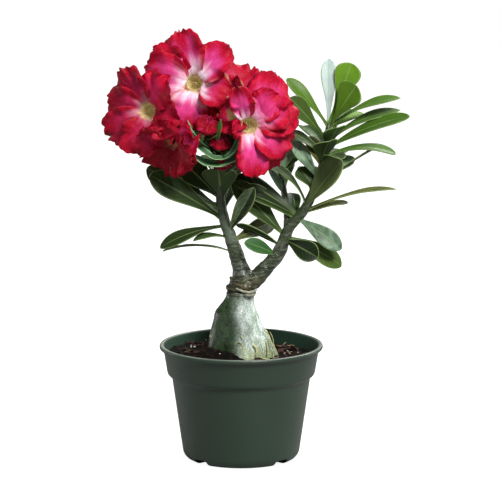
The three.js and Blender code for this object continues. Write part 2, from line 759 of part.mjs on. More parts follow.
// One stalk from the stem's tip to the foot of a bloom's tube, with its five sepals.
function stalkSolids(tubeFoot, facing, sepal) {
  const frame = bloomFrame(facing);
  const foot = tubeFoot.addScaledVector(frame.out, -GAP);
  const root = vector(...STALK_ROOT);
  const before = foot.clone().addScaledVector(frame.out, -STALK.straight);
  const middle = root.clone().lerp(before, 0.5).add(vector(0, 3, 0));
  const bend = [root, middle, before].map((p) => [p.x, p.y, p.z, STALK.radius]);
  bend.push([foot.x, foot.y, foot.z, STALK.footRadius]);
  const solids = [stemSolid(stemLine(bend), STALK.stations, STALK.sides)];
  for (let k = 0; k < SEPAL.count; k++) {
    const angle = degrees((360 / SEPAL.count) * k + 20);
    const outward = frame.right
      .clone()
      .multiplyScalar(Math.cos(angle))
      .addScaledVector(frame.up, Math.sin(angle));
    const sideways = frame.out.clone().cross(outward);
    const rows = [0, 1].map((t) => {
      const reach = SEPAL.foot + SEPAL.spread * t;
      const rise = -1.2 + sepal * t;
      const half = (SEPAL.width / 2) * (1 - 0.8 * t);
      return [-1, 1].map((u) =>
        foot
          .clone()
          .addScaledVector(outward, reach)
          .addScaledVector(frame.out, rise)
          .addScaledVector(sideways, u * half),
      );
    });
    const thick = outward.clone().multiplyScalar(SEPAL.thickness / 2);
    solids.push(blade(rows, [thick, thick]));
  }
  return solids;
}

function makeStalks() {
  const hub = solidOf(new THREE.SphereGeometry(HUB.radius, 9, 6).translate(...HUB.at));
  const blooms = Object.values(BLOOMS).flatMap(({ throat, facing }) => {
    const tube = vector(...facing).normalize().multiplyScalar(BLOOM.tubeLength);
    return stalkSolids(vector(...throat).sub(tube), facing, BLOOM.sepal);
  });
  const buds = Object.values(BUDS).flatMap(({ foot, facing }) =>
    stalkSolids(vector(...foot), facing, BUD.sepal),
  );
  return mesh("flower_stalks", fuse([hub, ...blooms, ...buds]), stalkGreen);
}

// ---- The whole plant ----------------------------------------------------------------------

const leftStem = leafyStem(STEM_LEFT, LEFT_LEAVES, 10, 10);
const rightStem = leafyStem(STEM_RIGHT, RIGHT_LEAVES, 12, 10);
const sideShoot = leafyStem(SIDE_SHOOT, SHOOT_LEAVES, 5, 8);
const plant = new THREE.Group();
plant.add(makePot(), makeSoil(), makeCaudex(), makeFork());
plant.add(mesh("leafy_stem_left", fuse(leftStem), leafGreen));
plant.add(mesh("leafy_stem_right", fuse([...rightStem, ...sideShoot]), leafGreen));
plant.add(makeStalks());
for (const [name, bloom] of Object.entries(BLOOMS)) plant.add(makeBloom(name, bloom));
for (const [name, bud] of Object.entries(BUDS)) plant.add(mesh(name, budSolid(bud), petalRed));

export default plant;
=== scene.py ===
"""A desert rose in a plastic nursery pot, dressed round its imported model: metres, +Z up, front to -Y."""

import math
import random

import bmesh
import bpy
from mathutils import Matrix, Vector, noise


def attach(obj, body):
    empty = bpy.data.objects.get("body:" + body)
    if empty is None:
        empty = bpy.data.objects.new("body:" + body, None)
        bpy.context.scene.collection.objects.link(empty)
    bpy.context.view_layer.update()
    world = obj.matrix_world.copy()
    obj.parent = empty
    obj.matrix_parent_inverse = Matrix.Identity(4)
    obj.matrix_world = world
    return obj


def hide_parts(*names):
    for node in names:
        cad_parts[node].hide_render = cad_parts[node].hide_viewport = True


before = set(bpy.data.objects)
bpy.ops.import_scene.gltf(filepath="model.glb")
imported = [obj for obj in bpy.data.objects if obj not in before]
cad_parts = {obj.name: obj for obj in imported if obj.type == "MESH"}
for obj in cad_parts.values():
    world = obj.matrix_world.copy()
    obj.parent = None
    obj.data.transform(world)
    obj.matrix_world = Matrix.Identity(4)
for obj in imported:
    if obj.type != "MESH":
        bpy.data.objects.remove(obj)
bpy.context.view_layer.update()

# ---- Pot ---------------------------------------------------------------------------------------
# A thin injection-moulded nursery pot of dark green polypropylene, with a collar and a rolled lip.
# Its wall is one turned profile; four drain cut-outs are punched through the bottom corner.

MM = 0.001
FULL_TURN = 2 * math.pi
POT_COLOUR = (0.0195, 0.0390, 0.0245)
POT_CLOUD_COLOUR = tuple(1.15 * c for c in POT_COLOUR)
POT_LIP_HIGHLIGHT = (0.36, 0.40, 0.34)
POT_INSIDE_SHADE = (0.0045, 0.0300, 0.0140)
POT_STEPS = 160
# Radius and height: up the outside from the middle of the base, over the lip and down the inside.
POT_PROFILE = [
    (0, 0), (46.8, 0), (49.2, 0.5), (51.4, 1.8), (53.2, 3.8), (54.3, 6.2), (54.8, 9),
    (64.2, 74.6), (64.5, 76.2), (65.1, 77.4), (67.6, 79.4), (68.5, 80.6), (69.0, 82.4),
    (72.2, 101.8), (72.9, 103.3), (74.4, 103.7), (75.5, 104.0), (76.0, 104.8), (76.0, 106.2),
    (75.5, 107.1), (74.6, 107.5), (73.0, 107.5), (72.0, 106.8), (71.2, 104.6), (67.6, 82.6),
    (66.4, 80.4), (63.4, 77.6), (62.9, 74.8), (53.2, 9), (52.4, 5.4), (50.2, 2.6), (47.6, 1.5), (0, 1.5),
]
DRAIN_COUNT = 4
DRAIN_SIZE = (17, 15, 10.8)
DRAIN_REACH = 56.4
DRAIN_ROUNDING = 1.4
# Painted highlight on the lip, painted shade inside the collar, in metres. A face of the collar widens by
# COLLAR_LEAN for each metre up; less that, the inner face is below COLLAR_RADIUS, the outer above.
LIP_HEIGHT = (0.1067, 0.1075)
COLLAR_HEIGHT = (0.080, 0.084)
COLLAR_LEAN = 0.165
COLLAR_RADIUS = (0.0541, 0.0552)


def node(tree, kind, inputs=(), **settings):
    """A shader node; inputs gives each socket a value or another node's output."""
    made = tree.nodes.new("ShaderNode" + kind)
    for name, value in settings.items():
        setattr(made, name, value)
    for name, value in dict(inputs).items():
        if isinstance(value, bpy.types.NodeSocket):
            tree.links.new(value, made.inputs[name])
        else:
            made.inputs[name].default_value = value
    return made


def mixed(tree, factor, first, second, blend="MIX"):
    """Two colours mixed by a factor."""
    values = {0: factor, 6: first, 7: second}
    for key in (6, 7):
        if isinstance(values[key], tuple):
            values[key] = (*values[key], 1)
    return node(tree, "Mix", values, data_type="RGBA", blend_type=blend).outputs[2]


def maths(tree, operation, *values, clamp=True):
    """One sum of numbers, kept between 0 and 1 if it is clamped."""
    return node(tree, "Math", dict(enumerate(values)), operation=operation, use_clamp=clamp).outputs[0]


def times(tree, first, second):
    """One mask or share of another."""
    return maths(tree, "MULTIPLY", first, second)


def spread(tree, value, low, high, to_low=0.0, to_high=1.0):
    """A value's range low to high, turned smoothly into another range."""
    inputs = {"Value": value, "From Min": low, "From Max": high, "To Min": to_low, "To Max": to_high}
    return node(tree, "MapRange", inputs, interpolation_type="SMOOTHSTEP").outputs[0]


def bumped(tree, height, strength, distance):
    """A normal roughened by a height that changes over the surface."""
    inputs = {"Height": height, "Strength": strength, "Distance": distance * MM}
    return node(tree, "Bump", inputs).outputs[0]


def material(name, colour, roughness, **sockets):
    """A material with one Principled shader; returns it and its node tree."""
    made = bpy.data.materials.new(name)
    made.use_nodes = True
    shader = made.node_tree.nodes["Principled BSDF"]
    shader.inputs["Base Color"].default_value = (*colour, 1)
    shader.inputs["Roughness"].default_value = roughness
    for socket, value in sockets.items():
        shader.inputs[socket.replace("_", " ")].default_value = value
    made.diffuse_color = (*colour, 1)
    return made, made.node_tree, shader


def feed(tree, shader, colour, normal, roughness=None):
    """Links a shader to its colour, its normal and, if it changes over the surface, its roughness."""
    tree.links.new(colour, shader.inputs["Base Color"])
    tree.links.new(normal, shader.inputs["Normal"])
    if roughness is not None:
        tree.links.new(roughness, shader.inputs["Roughness"])


def stretched(tree, scale=(1, 1, 1)):
    """Object coordinates, scaled along each axis."""
    coordinates = node(tree, "TexCoord").outputs["Object"]
    return node(tree, "Mapping", {"Vector": coordinates, "Scale": scale}).outputs[0]


def position(tree):
    """Where a point of the surface is, in metres: x, y and z."""
    return node(tree, "SeparateXYZ", {0: stretched(tree)}).outputs


def shared_group(name, inputs, outputs):
    """A node group with its sockets; returns it with the values it is given and those it makes."""
    tree = bpy.data.node_groups.new(name, "ShaderNodeTree")
    for socket, kind in inputs.items():
        tree.interface.new_socket(socket, in_out="INPUT", socket_type="NodeSocket" + kind)
    for socket in outputs:
        tree.interface.new_socket(socket, in_out="OUTPUT", socket_type="NodeSocketFloat")
    return tree, tree.nodes.new("NodeGroupInput").outputs, tree.nodes.new("NodeGroupOutput").inputs


def speckle_group():
    """Cloudy patches and fine grain on a surface, shared by all that the plant and pot are made of."""
    inputs = {"Vector": "Vector", "Patch Scale": "Float", "Grain Scale": "Float"}
    tree, given, made = shared_group("patches_and_grain", inputs, ("Patches", "Grain"))
    for scale, name, detail in (("Patch Scale", "Patches", 4.0), ("Grain Scale", "Grain", 8.0)):
        cloud = node(tree, "TexNoise", {"Vector": given["Vector"], "Scale": given[scale], "Detail": detail})
        tree.links.new(spread(tree, cloud.outputs["Fac"], 0.3, 0.7), made[name])
    return tree


SPECKLES = speckle_group()


def speckled(tree, patch, grain, scale=(1, 1, 1)):
    """Patches and grain at two scales, in features a metre."""
    inputs = {"Vector": stretched(tree, scale), "Patch Scale": patch, "Grain Scale": grain}
    group = node(tree, "Group", inputs, node_tree=SPECKLES)
    return group.outputs["Patches"], group.outputs["Grain"]


def workpiece(name, bm):
    """A plain object made from a bmesh."""
    mesh = bpy.data.meshes.new(name)
    bm.to_mesh(mesh)
    bm.free()
    made = bpy.data.objects.new(name, mesh)
    bpy.context.scene.collection.objects.link(made)
    return made


def worked(main, *tools):
    """A workpiece's shape after its modifiers, as a bmesh; the workpiece and its tools are removed."""
    bpy.context.view_layer.update()
    done = main.evaluated_get(bpy.context.evaluated_depsgraph_get())
    shape = bmesh.new()
    shape.from_mesh(done.to_mesh())
    done.to_mesh_clear()
    for spare in (main, *tools):
        bpy.data.objects.remove(spare)
    return shape


def piece_of(name, bm, materials, slot, *nodes):
    """Turns a bmesh into a piece that rides on the root body and stands for CAD nodes."""
    piece = workpiece(name, bm)
    for each in materials:
        piece.data.materials.append(each)
    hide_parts(*nodes)
    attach(piece, "root")
    return piece


def smooth_faces(bm, crease=38):
    """Shades the faces smooth, and keeps the edges that bend by more degrees than crease sharp."""
    for face in bm.faces:
        face.smooth = True
    for edge in bm.edges:
        edge.smooth = len(edge.link_faces) != 2 or edge.calc_face_angle(0) < math.radians(crease)


def turned(bm, profile, steps):
    """A closed turned shape from (radius, height) points in millimetres."""
    corners = [bm.verts.new(Vector((r, 0, z)) * MM) for r, z in profile]
    edges = [bm.edges.new(pair) for pair in zip(corners, corners[1:])]
    bmesh.ops.spin(
        bm, geom=corners + edges, cent=(0, 0, 0), axis=(0, 0, 1), angle=FULL_TURN, steps=steps, use_merge=True
    )
    bmesh.ops.remove_doubles(bm, verts=bm.verts, dist=1e-6)
    bmesh.ops.recalc_face_normals(bm, faces=bm.faces)


pot_shape = bmesh.new()
turned(pot_shape, POT_PROFILE, POT_STEPS)
cut_shape = bmesh.new()
for k in range(DRAIN_COUNT):
    block = bmesh.ops.create_cube(cut_shape, size=1)["verts"]
    bmesh.ops.scale(cut_shape, verts=block, vec=Vector(DRAIN_SIZE) * MM)
    bmesh.ops.translate(cut_shape, verts=block, vec=((DRAIN_REACH - DRAIN_SIZE[0] / 2) * MM, 0, 0))
    turn = Matrix.Rotation((k + 0.5) * FULL_TURN / DRAIN_COUNT, 3, "Z")
    bmesh.ops.rotate(cut_shape, verts=block, cent=(0, 0, 0), matrix=turn)
rounded = [e for e in cut_shape.edges if max(vert.co.z for vert in e.verts) > 0]
bmesh.ops.bevel(
    cut_shape, geom=rounded, offset=DRAIN_ROUNDING * MM, offset_type="OFFSET", affect="EDGES",
    segments=4, profile=0.5, material=-1,
)
shell = workpiece("pot_shell", pot_shape)
cuts = workpiece("drain_cuts", cut_shape)
punch = shell.modifiers.new("punch", "BOOLEAN")
punch.operation = "DIFFERENCE"
punch.solver = "EXACT"
punch.object = cuts
pot_shape = worked(shell, cuts)
smooth_faces(pot_shape)

pot_plastic, tree, shader = material("pot_plastic", POT_COLOUR, 0.42, Specular_IOR_Level=0.5)
patches, grain = speckled(tree, 14, 900)
across, deep, height = position(tree)
flat = node(tree, "CombineXYZ", {0: across, 1: deep}).outputs[0]
reach = node(tree, "VectorMath", {0: flat}, operation="LENGTH").outputs["Value"]
upright_reach = maths(tree, "MULTIPLY_ADD", height, -COLLAR_LEAN, reach, clamp=False)
# Painted shade on the inner face of the collar.
inside = spread(tree, upright_reach, *COLLAR_RADIUS, 1.0, 0.0)
inside = times(tree, inside, spread(tree, height, *COLLAR_HEIGHT))
plain = mixed(tree, patches, POT_COLOUR, POT_CLOUD_COLOUR)
plain = mixed(tree, inside, plain, POT_INSIDE_SHADE)
# Painted highlight: a patchy pale band along the top of the lip.
lip_highlight = times(tree, spread(tree, height, *LIP_HEIGHT), spread(tree, patches, 0.0, 1.0, 0.25, 0.7))
gloss = maths(tree, "ADD", spread(tree, grain, 0.0, 1.0, 0.36, 0.5), times(tree, inside, 0.4))
feed(tree, shader, mixed(tree, lip_highlight, plain, POT_LIP_HIGHLIGHT), bumped(tree, grain, 0.12, 0.2), gloss)
piece_of("pot_wall", pot_shape, [pot_plastic], "pot_plastic", "pot")

# ---- Potting mix -------------------------------------------------------------------------------
# Dark moist bark and peat, heaped against the plant at the front left, with flakes of reddish
# bark, dry sticks and white perlite strewn over it. It fills the pot up to below the collar's lip.

SOIL_LEVEL = 97.5
SOIL_SLOPE = 0.035
MOUND_HEIGHT = 10
MOUND_AT = (-25, -15)
MOUND_WIDTH = 20
CLOD_SIZE, CLOD_HEIGHT = 13, 1.5
LUMP_SIZE, LUMP_HEIGHT = 5.2, 2.1
CRUMB_SIZE, CRUMB_HEIGHT = 2.1, 1.0
SOIL_RADIUS = 68.6
SOIL_RINGS = 90
SOIL_STEPS = 220
# The mix sinks by SOIL_EDGE_DROP within SOIL_EDGE of the pot's wall.
SOIL_EDGE = 2.4
SOIL_EDGE_DROP = 2.0
SOIL_WALL = [(0, 1.8), (45.4, 1.8), (49, 5.6), (52.4, 10.6), (61.6, 72.6), (65.5, 83.5), (67.8, 92)]
SOIL_DARK = (0.0035, 0.0026, 0.0022)
SOIL_BROWN = (0.026, 0.012, 0.009)
SOIL_GRIT = (0.045, 0.032, 0.025)
# Every run strews the same bits: both the draws and the noise that roughens them have a seed.
rng = random.Random(11)
noise.seed_set(11)


def soil_height(x, y, crumbs=1.0):
    """Height of the potting mix at a place, all in millimetres."""
    away = ((x - MOUND_AT[0]) ** 2 + (y - MOUND_AT[1]) ** 2) / (2 * MOUND_WIDTH**2)
    ground = SOIL_LEVEL - SOIL_SLOPE * x + MOUND_HEIGHT * math.exp(-away)
    lumps = noise.voronoi(Vector((x, y, 3.1)) / LUMP_SIZE)[0][0]
    crumb = noise.voronoi(Vector((x, y, 9.7)) / CRUMB_SIZE)[0][0]
    clods = noise.noise(Vector((x, y, 0)) / CLOD_SIZE)
    rough = LUMP_HEIGHT * (0.5 - lumps) + CRUMB_HEIGHT * (0.45 - crumb) + CLOD_HEIGHT * clods
    return ground + crumbs * rough


soil_shape = bmesh.new()
surface = [(SOIL_RADIUS * (1 - k / SOIL_RINGS), SOIL_LEVEL) for k in range(SOIL_RINGS + 1)]
turned(soil_shape, SOIL_WALL + surface, SOIL_STEPS)
for vert in soil_shape.verts:
    if vert.co.z > (SOIL_LEVEL - 0.5) * MM:
        x, y = vert.co.x / MM, vert.co.y / MM
        level = min(1.0, (SOIL_RADIUS - math.hypot(x, y)) / SOIL_EDGE)
        vert.co.z = (soil_height(x, y) - SOIL_EDGE_DROP * (1 - level)) * MM

potting_mix, tree, shader = material("potting_mix", SOIL_DARK, 0.92, Specular_IOR_Level=0.12)
patches, grain = speckled(tree, 95, 1300)
cells = node(tree, "TexVoronoi", {"Vector": stretched(tree), "Scale": 330.0})
flake = spread(tree, node(tree, "SeparateColor", {0: cells.outputs["Color"]}).outputs[0], 0.55, 0.95)
ground = mixed(tree, times(tree, flake, patches), SOIL_DARK, SOIL_BROWN)
ground = mixed(tree, spread(tree, grain, 0.8, 1.0, 0.0, 0.35), ground, SOIL_GRIT)
feed(tree, shader, ground, bumped(tree, grain, 0.8, 0.8))
piece_of("potting_mix_bed", soil_shape, [potting_mix], "potting_mix", "potting_mix")

CHIP_COUNT = 130
PERLITE_COUNT = 30
STICK_COUNT = 16
STICK_LIMIT = 66
LUMP_NOISE = 2.4
# No chips lie on the front of the mound, between these x and nearer than this y.
BARE_X = (-36, -5)
BARE_Y = -18
ALL_ROUND = (0, 2 * math.pi)
CHIP_DARK = (0.007, 0.004, 0.003)
CHIP_RED = (0.052, 0.020, 0.014)
CHIP_EDGE = (0.13, 0.06, 0.04)


def on_soil(near, far, sector=ALL_ROUND):
    """A random place on the mix between two distances from the pot's middle."""
    angle = rng.uniform(*sector)
    reach = math.sqrt(rng.uniform(near**2, far**2))
    return reach * math.cos(angle), reach * math.sin(angle)


def strewn(bm, at, size, lift, roughness):
    """One lump lying on the mix, tilted at random and roughened by noise."""
    lump = bmesh.ops.create_icosphere(bm, subdivisions=1, radius=0.5 * MM)["verts"]
    bmesh.ops.scale(bm, verts=lump, vec=size)
    tilt = Matrix.Rotation(rng.uniform(-0.7, 0.7), 3, "X") @ Matrix.Rotation(rng.uniform(-0.5, 0.5), 3, "Y")
    turn = Matrix.Rotation(rng.uniform(0, 6.3), 3, "Z") @ tilt
    bmesh.ops.rotate(bm, verts=lump, cent=(0, 0, 0), matrix=turn)
    x, y = at
    bmesh.ops.translate(bm, verts=lump, vec=Vector((x, y, soil_height(x, y, 0.5) + lift)) * MM)
    for vert in lump:
        vert.co += noise.noise_vector(vert.co / (LUMP_NOISE * MM)) * roughness * MM


chip_shape = bmesh.new()
for k in range(CHIP_COUNT):
    long = rng.uniform(3, 10)
    sector = (-1.3, 1.2) if k % 3 == 0 else ALL_ROUND
    size = (long, long * rng.uniform(0.35, 0.7), rng.uniform(0.9, 2.6))
    x, y = on_soil(33, 64, sector)
    if not (BARE_X[0] < x < BARE_X[1] and y < BARE_Y):
        strewn(chip_shape, (x, y), size, rng.uniform(0.2, 1.4), 0.7)
bark_chips, tree, shader = material("bark_chips", (0.07, 0.025, 0.017), 0.85, Specular_IOR_Level=0.2)
patches, grain = speckled(tree, 70, 900, (1, 1, 2.2))
shade = mixed(tree, patches, CHIP_DARK, CHIP_RED)
shade = mixed(tree, spread(tree, grain, 0.7, 1.0, 0.0, 0.5), shade, CHIP_EDGE)
feed(tree, shader, shade, bumped(tree, grain, 0.6, 0.6))
piece_of("bark_chips", chip_shape, [bark_chips], "potting_mix", "potting_mix")

perlite_shape = bmesh.new()
for k in range(PERLITE_COUNT):
    wide = rng.uniform(1.1, 2.6)
    strewn(perlite_shape, on_soil(33, 65), (wide, wide * 0.85, wide * 0.7), 0.9, 0.5)
perlite, tree, shader = material("perlite", (0.62, 0.60, 0.56), 0.9)
patches, grain = speckled(tree, 300, 2400)
chalk = mixed(tree, grain, (0.34, 0.31, 0.28), (0.72, 0.70, 0.66))
feed(tree, shader, chalk, bumped(tree, grain, 0.5, 0.3))
piece_of("perlite_bits", perlite_shape, [perlite], "potting_mix", "potting_mix")


def laid_grid(bm, across, along, place, tint=None):
    """A grid of faces moved to place(u, v), with its UVs and, if it has a tint, its colours."""
    uv = bm.loops.layers.uv.verify()
    grid = bmesh.ops.create_grid(bm, x_segments=across, y_segments=along, size=0.5)["verts"]
    flat = {vert: (vert.co.x + 0.5, vert.co.y + 0.5) for vert in grid}
    for face in {face for vert in grid for face in vert.link_faces}:
        for loop in face.loops:
            loop[uv].uv = flat[loop.vert]
    for vert, (u, v) in flat.items():
        vert.co = place(u, v)
        if tint:
            vert[bm.verts.layers.float_color["tint"]] = tint(u, v)
    return grid


def rolled(bm, along, around, place, tint=None):
    """A tube: a grid of faces rolled up, with its seam merged and its ends closed."""
    grid = laid_grid(bm, around, along, place, tint)
    bmesh.ops.remove_doubles(bm, verts=grid, dist=1e-7)
    kept = [vert for vert in grid if vert.is_valid]
    rim = [e for e in {e for vert in kept for e in vert.link_edges} if e.is_boundary]
    ends = bmesh.ops.holes_fill(bm, edges=rim, sides=0)["faces"]
    faces = list({face for vert in kept for face in vert.link_faces} | set(ends))
    bmesh.ops.recalc_face_normals(bm, faces=faces)
    return kept


def line_through(points):
    """A smooth line through (x, y, z, radius) points in millimetres: a function of 0 to 1."""
    rows = [Vector(point) for point in points]
    rows = [2 * rows[0] - rows[1], *rows, 2 * rows[-1] - rows[-2]]

    def at(t):
        step = min(max(t, 0.0) * (len(points) - 1), len(points) - 1 - 1e-9)
        i, f = int(step), step - int(step)
        a, b, c, d = rows[i : i + 4]
        square, cube = 2 * a - 5 * b + 4 * c - d, 3 * b - a - 3 * c + d
        return 0.5 * (2 * b + (c - a) * f + square * f**2 + cube * f**3)

    return at


def level_with(direction, along):
    """A direction turned square to the one that runs along."""
    return (direction - along * direction.dot(along)).normalized()


def tube(bm, points, along, around, swell=lambda t, angle: 1.0, taper=True, tint=None):
    """A tube along points, in millimetres, rounded at both ends if it tapers."""
    line = line_through(points)

    def place(u, v):
        here = line(v)
        forward = (line(min(1, v + 0.01)) - line(max(0, v - 0.01))).to_3d().normalized()
        reference = Vector((0, 1, 0)) if abs(forward.y) < 0.9 else Vector((1, 0, 0))
        back = level_with(reference, forward)
        side = back.cross(forward)
        angle = FULL_TURN * (u % 1.0)
        close = math.sqrt(max(0.0, 1 - max(0, (abs(2 * v - 1) - 0.9) / 0.1) ** 2)) if taper else 1.0
        reach = here[3] * swell(v, angle) * max(0.25, close)
        return (here.to_3d() + side * reach * math.cos(angle) + back * reach * math.sin(angle)) * MM

    return rolled(bm, along, around, place, tint)


def grained(name, colour, roughness, colours, scales, bump):
    """A material that drifts from one of two colours to the other in patches, with a raised grain."""
    made, tree, shader = material(name, colour, roughness)
    patches, grain = speckled(tree, *scales)
    feed(tree, shader, mixed(tree, patches, *colours), bumped(tree, grain, *bump))
    return made


stick_shape = bmesh.new()
for k in range(STICK_COUNT):
    sector = (-1.2, 0.9) if k % 2 else ALL_ROUND
    x, y = on_soil(34, 60, sector)
    heading = rng.uniform(*ALL_ROUND)
    length = rng.uniform(4, 10)
    rise = rng.uniform(-0.1, 0.45)
    thick = rng.uniform(0.25, 0.6)
    route = []
    for j in range(4):
        s = length * j / 3
        bend = rng.uniform(-1.2, 1.2)
        px = x + s * math.cos(heading) - bend * math.sin(heading)
        py = y + s * math.sin(heading) + bend * math.cos(heading)
        if math.hypot(px, py) > STICK_LIMIT:
            px, py = (p * STICK_LIMIT / math.hypot(px, py) for p in (px, py))
        route.append((px, py, soil_height(px, py, 0.3) + 1.2 + s * rise, thick))
    tube(stick_shape, route, 8, 6)
smooth_faces(stick_shape)
dry_sticks = grained(
    "dry_sticks", (0.30, 0.22, 0.12), 0.8,
    colours=((0.10, 0.055, 0.03), (0.46, 0.36, 0.20)), scales=(90, 1500), bump=(0.4, 0.2),
)
piece_of("dry_sticks", stick_shape, [dry_sticks], "potting_mix", "potting_mix")

# ---- Rootstock ---------------------------------------------------------------------------------
# The swollen stem that stores water, buried to its widest part. Its thin waxy skin is grey-green,
# painted in shade on the left and with a painted silver highlight on the right, and its roots swell out
# in low buttresses just above the potting mix.

# Height, middle x, radius and depth of the lobes, from the foot up to the graft.
CAUDEX_RINGS = [
    (52, 0, 7, 0), (62, 0, 15, 0.05), (76, 1, 24, 0.1), (89, 1, 29.5, 0.14), (98, 0.5, 31, 0.12),
    (105, -0.4, 30, 0.08), (113, -1.8, 28.2, 0.04), (123, -3.6, 24.7, 0.03), (132, -4.1, 21.6, 0.02),
    (138.8, -4.8, 19.2, 0.02), (145.7, -3.2, 15.5, 0.01), (151, -1.6, 13.5, 0.02),
    (154, -0.6, 13.2, 0.02), (155.8, 0.2, 14.0, 0.01), (158, 0.6, 13.0, 0),
]
CAUDEX_ALONG = 150
CAUDEX_AROUND = 144
CAUDEX_LOBES = 5
KNOB_AT = Vector((-20.4, -7, 141))
KNOB_HEIGHT = 2.8
KNOB_WIDTH = 2.6
ring_line = line_through(CAUDEX_RINGS)


def caudex_place(u, v):
    """A point of the rootstock's skin: u round it, v from its foot to the graft."""
    height, x, radius, lobe = ring_line(v)
    angle = FULL_TURN * (u % 1.0)
    swell = 1 + lobe * math.cos(CAUDEX_LOBES * angle + 0.9) + 0.4 * lobe * math.sin(2 * angle)
    outward = Vector((math.cos(angle), math.sin(angle), 0))
    point = Vector((x, 0, height)) + outward * radius * swell
    slow = noise.noise(Vector((point.x / 13, point.y / 13, point.z / 22)))
    creases = noise.noise(Vector((point.x / 2.6, point.y / 2.6, point.z / 8)))
    knob = KNOB_HEIGHT * math.exp(-((point - KNOB_AT).length / KNOB_WIDTH) ** 2)
    return (point + outward * (0.75 * slow + 0.22 * creases + knob)) * MM


caudex_shape = bmesh.new()
rolled(caudex_shape, CAUDEX_ALONG, CAUDEX_AROUND, caudex_place)
smooth_faces(caudex_shape, 80)

# Painted light: the left of the skin is painted in shade, from deep to shade, and its lit right runs
# from green to a painted silver highlight.
SKIN_DEEP = (0.010, 0.018, 0.006)
SKIN_SHADE = (0.022, 0.055, 0.015)
SKIN_GREEN = (0.17, 0.270, 0.130)
SKIN_SILVER_HIGHLIGHT = (0.80, 0.91, 0.88)
SKIN_YELLOW = (0.40, 0.46, 0.17)
SKIN_BROWN = (0.050, 0.042, 0.020)
SKIN_FLECK = (0.42, 0.52, 0.38)
# Where each shade of the skin begins and ends, in metres.
LIT_FROM_X = (-0.008, 0.019)
GREEN_FROM_X = (0.018, 0.027)
YELLOW_BELOW = (0.098, 0.124)
BROWN_ABOVE = (0.149, 0.157)
rootstock_skin, tree, shader = material("rootstock_skin", SKIN_GREEN, 0.36, Specular_IOR_Level=0.38)
x, _, height = position(tree)
patches, grain = speckled(tree, 34, 520)
streaks, dashes = speckled(tree, 210, 760, (1, 1, 0.4))
cells = {"Vector": stretched(tree, (1, 1, 0.5)), "Scale": 620.0}
net = node(tree, "TexVoronoi", cells, feature="DISTANCE_TO_EDGE").outputs["Distance"]
cracks = times(tree, spread(tree, net, 0.0, 0.16, 1.0, 0.0), 0.5)
# Painted light across x: painted shade on the left, a painted silver highlight on the right.
lit = spread(tree, maths(tree, "MULTIPLY_ADD", patches, 0.006, x, clamp=False), *LIT_FROM_X)
shaded = mixed(tree, spread(tree, streaks, 0.0, 0.8, 0.1, 1.0), SKIN_DEEP, SKIN_SHADE)
lit_side_colour = mixed(tree, spread(tree, streaks, 0.0, 0.8, 0.4, 1.0), SKIN_GREEN, SKIN_SILVER_HIGHLIGHT)
skin = mixed(tree, lit, shaded, lit_side_colour)
# Past the painted highlight the far right edge turns green again: painted shade where it turns from the
# light.
skin = mixed(tree, spread(tree, x, *GREEN_FROM_X, 0.0, 0.6), skin, SKIN_GREEN)
low = times(tree, spread(tree, height, *YELLOW_BELOW, 1.0, 0.0), spread(tree, patches, 0.25, 0.8, 0.1, 0.7))
skin = mixed(tree, times(tree, low, lit), skin, SKIN_YELLOW)
# The pale flecks fade into the painted shade on the left.
flecks = times(tree, spread(tree, dashes, 0.5, 0.85, 0.0, 0.28), spread(tree, lit, 0.0, 0.8, 0.25, 1.0))
skin = mixed(tree, flecks, skin, SKIN_FLECK)
skin = mixed(tree, cracks, skin, SKIN_DEEP)
neck = times(tree, spread(tree, height, *BROWN_ABOVE, 0.0, 0.8), spread(tree, grain, 0.2, 0.7))
skin = mixed(tree, neck, skin, SKIN_BROWN)
relief = maths(tree, "ADD", cracks, times(tree, dashes, 0.5))
feed(tree, shader, skin, bumped(tree, relief, 0.35, 0.35), spread(tree, grain, 0.0, 1.0, 0.26, 0.46))
piece_of("rootstock", caudex_shape, [rootstock_skin], "rootstock_bark", "caudex")

# Pale roots no thicker than a wire leave the skin and run down it into the mix.
WIRE_ROOTS = [
    [(20.6, -12, 123.4, 0.9), (23.4, -13.4, 122.2, 0.9), (25.9, -14, 117.5, 0.8), (27.8, -15, 111.5, 0.7),
     (30.2, -15.5, 105.5, 0.6), (31.5, -16, 100.5, 0.5)],
    [(-6.6, -27.4, 112, 0.6), (-3.4, -28.4, 114.6, 0.7), (-0.4, -29.2, 113.8, 0.75), (1.6, -29.8, 110.5, 0.7),
     (4.4, -30.5, 106.8, 0.6)],
    [(10.4, -26.8, 111.5, 0.9), (13.2, -27.4, 110.6, 1.3), (14.4, -27.9, 107, 1.2), (13.4, -29, 102, 0.8)],
    [(-0.6, -27.2, 121.5, 0.3), (0.4, -27.9, 119.4, 0.6), (1.4, -28.3, 117.6, 0.35)],
    [(-27.5, -9, 118.6, 0.4), (-28.8, -10.2, 116.8, 0.6), (-27.2, -12.4, 115.4, 0.6), (-25.6, -14, 116, 0.4)],
    [(26.4, -12, 121.6, 0.4), (29.2, -12.8, 116, 0.45), (30.4, -13.2, 109, 0.45), (33.6, -13.6, 101, 0.4)],
    [(16, -27, 101, 0.7), (21.5, -27.5, 99.2, 0.6), (27, -26.5, 98.4, 0.5)],
    [(22.8, -14.2, 114, 0.7), (24.4, -16.4, 108, 0.8), (25.2, -19, 101, 0.8)],
]
root_shape = bmesh.new()
for route in WIRE_ROOTS:
    tube(root_shape, route, 20, 8, lambda t, angle: 0.8 + 0.15 * math.sin(23 * t + angle))
smooth_faces(root_shape)
wire_root = grained(
    "wire_root", (0.50, 0.48, 0.22), 0.6,
    colours=((0.20, 0.24, 0.08), (0.66, 0.64, 0.32)), scales=(260, 1600), bump=(0.3, 0.2),
)
piece_of("wire_roots", root_shape, [wire_root], "rootstock_bark", "caudex")

# ---- Grafted fork ------------------------------------------------------------------------------
# The flowering variety, grafted on the rootstock's cut neck. Old wood has healed over the cut in
# rough brown ridges, and two grey-green limbs with rings of leaf scars part just above it.

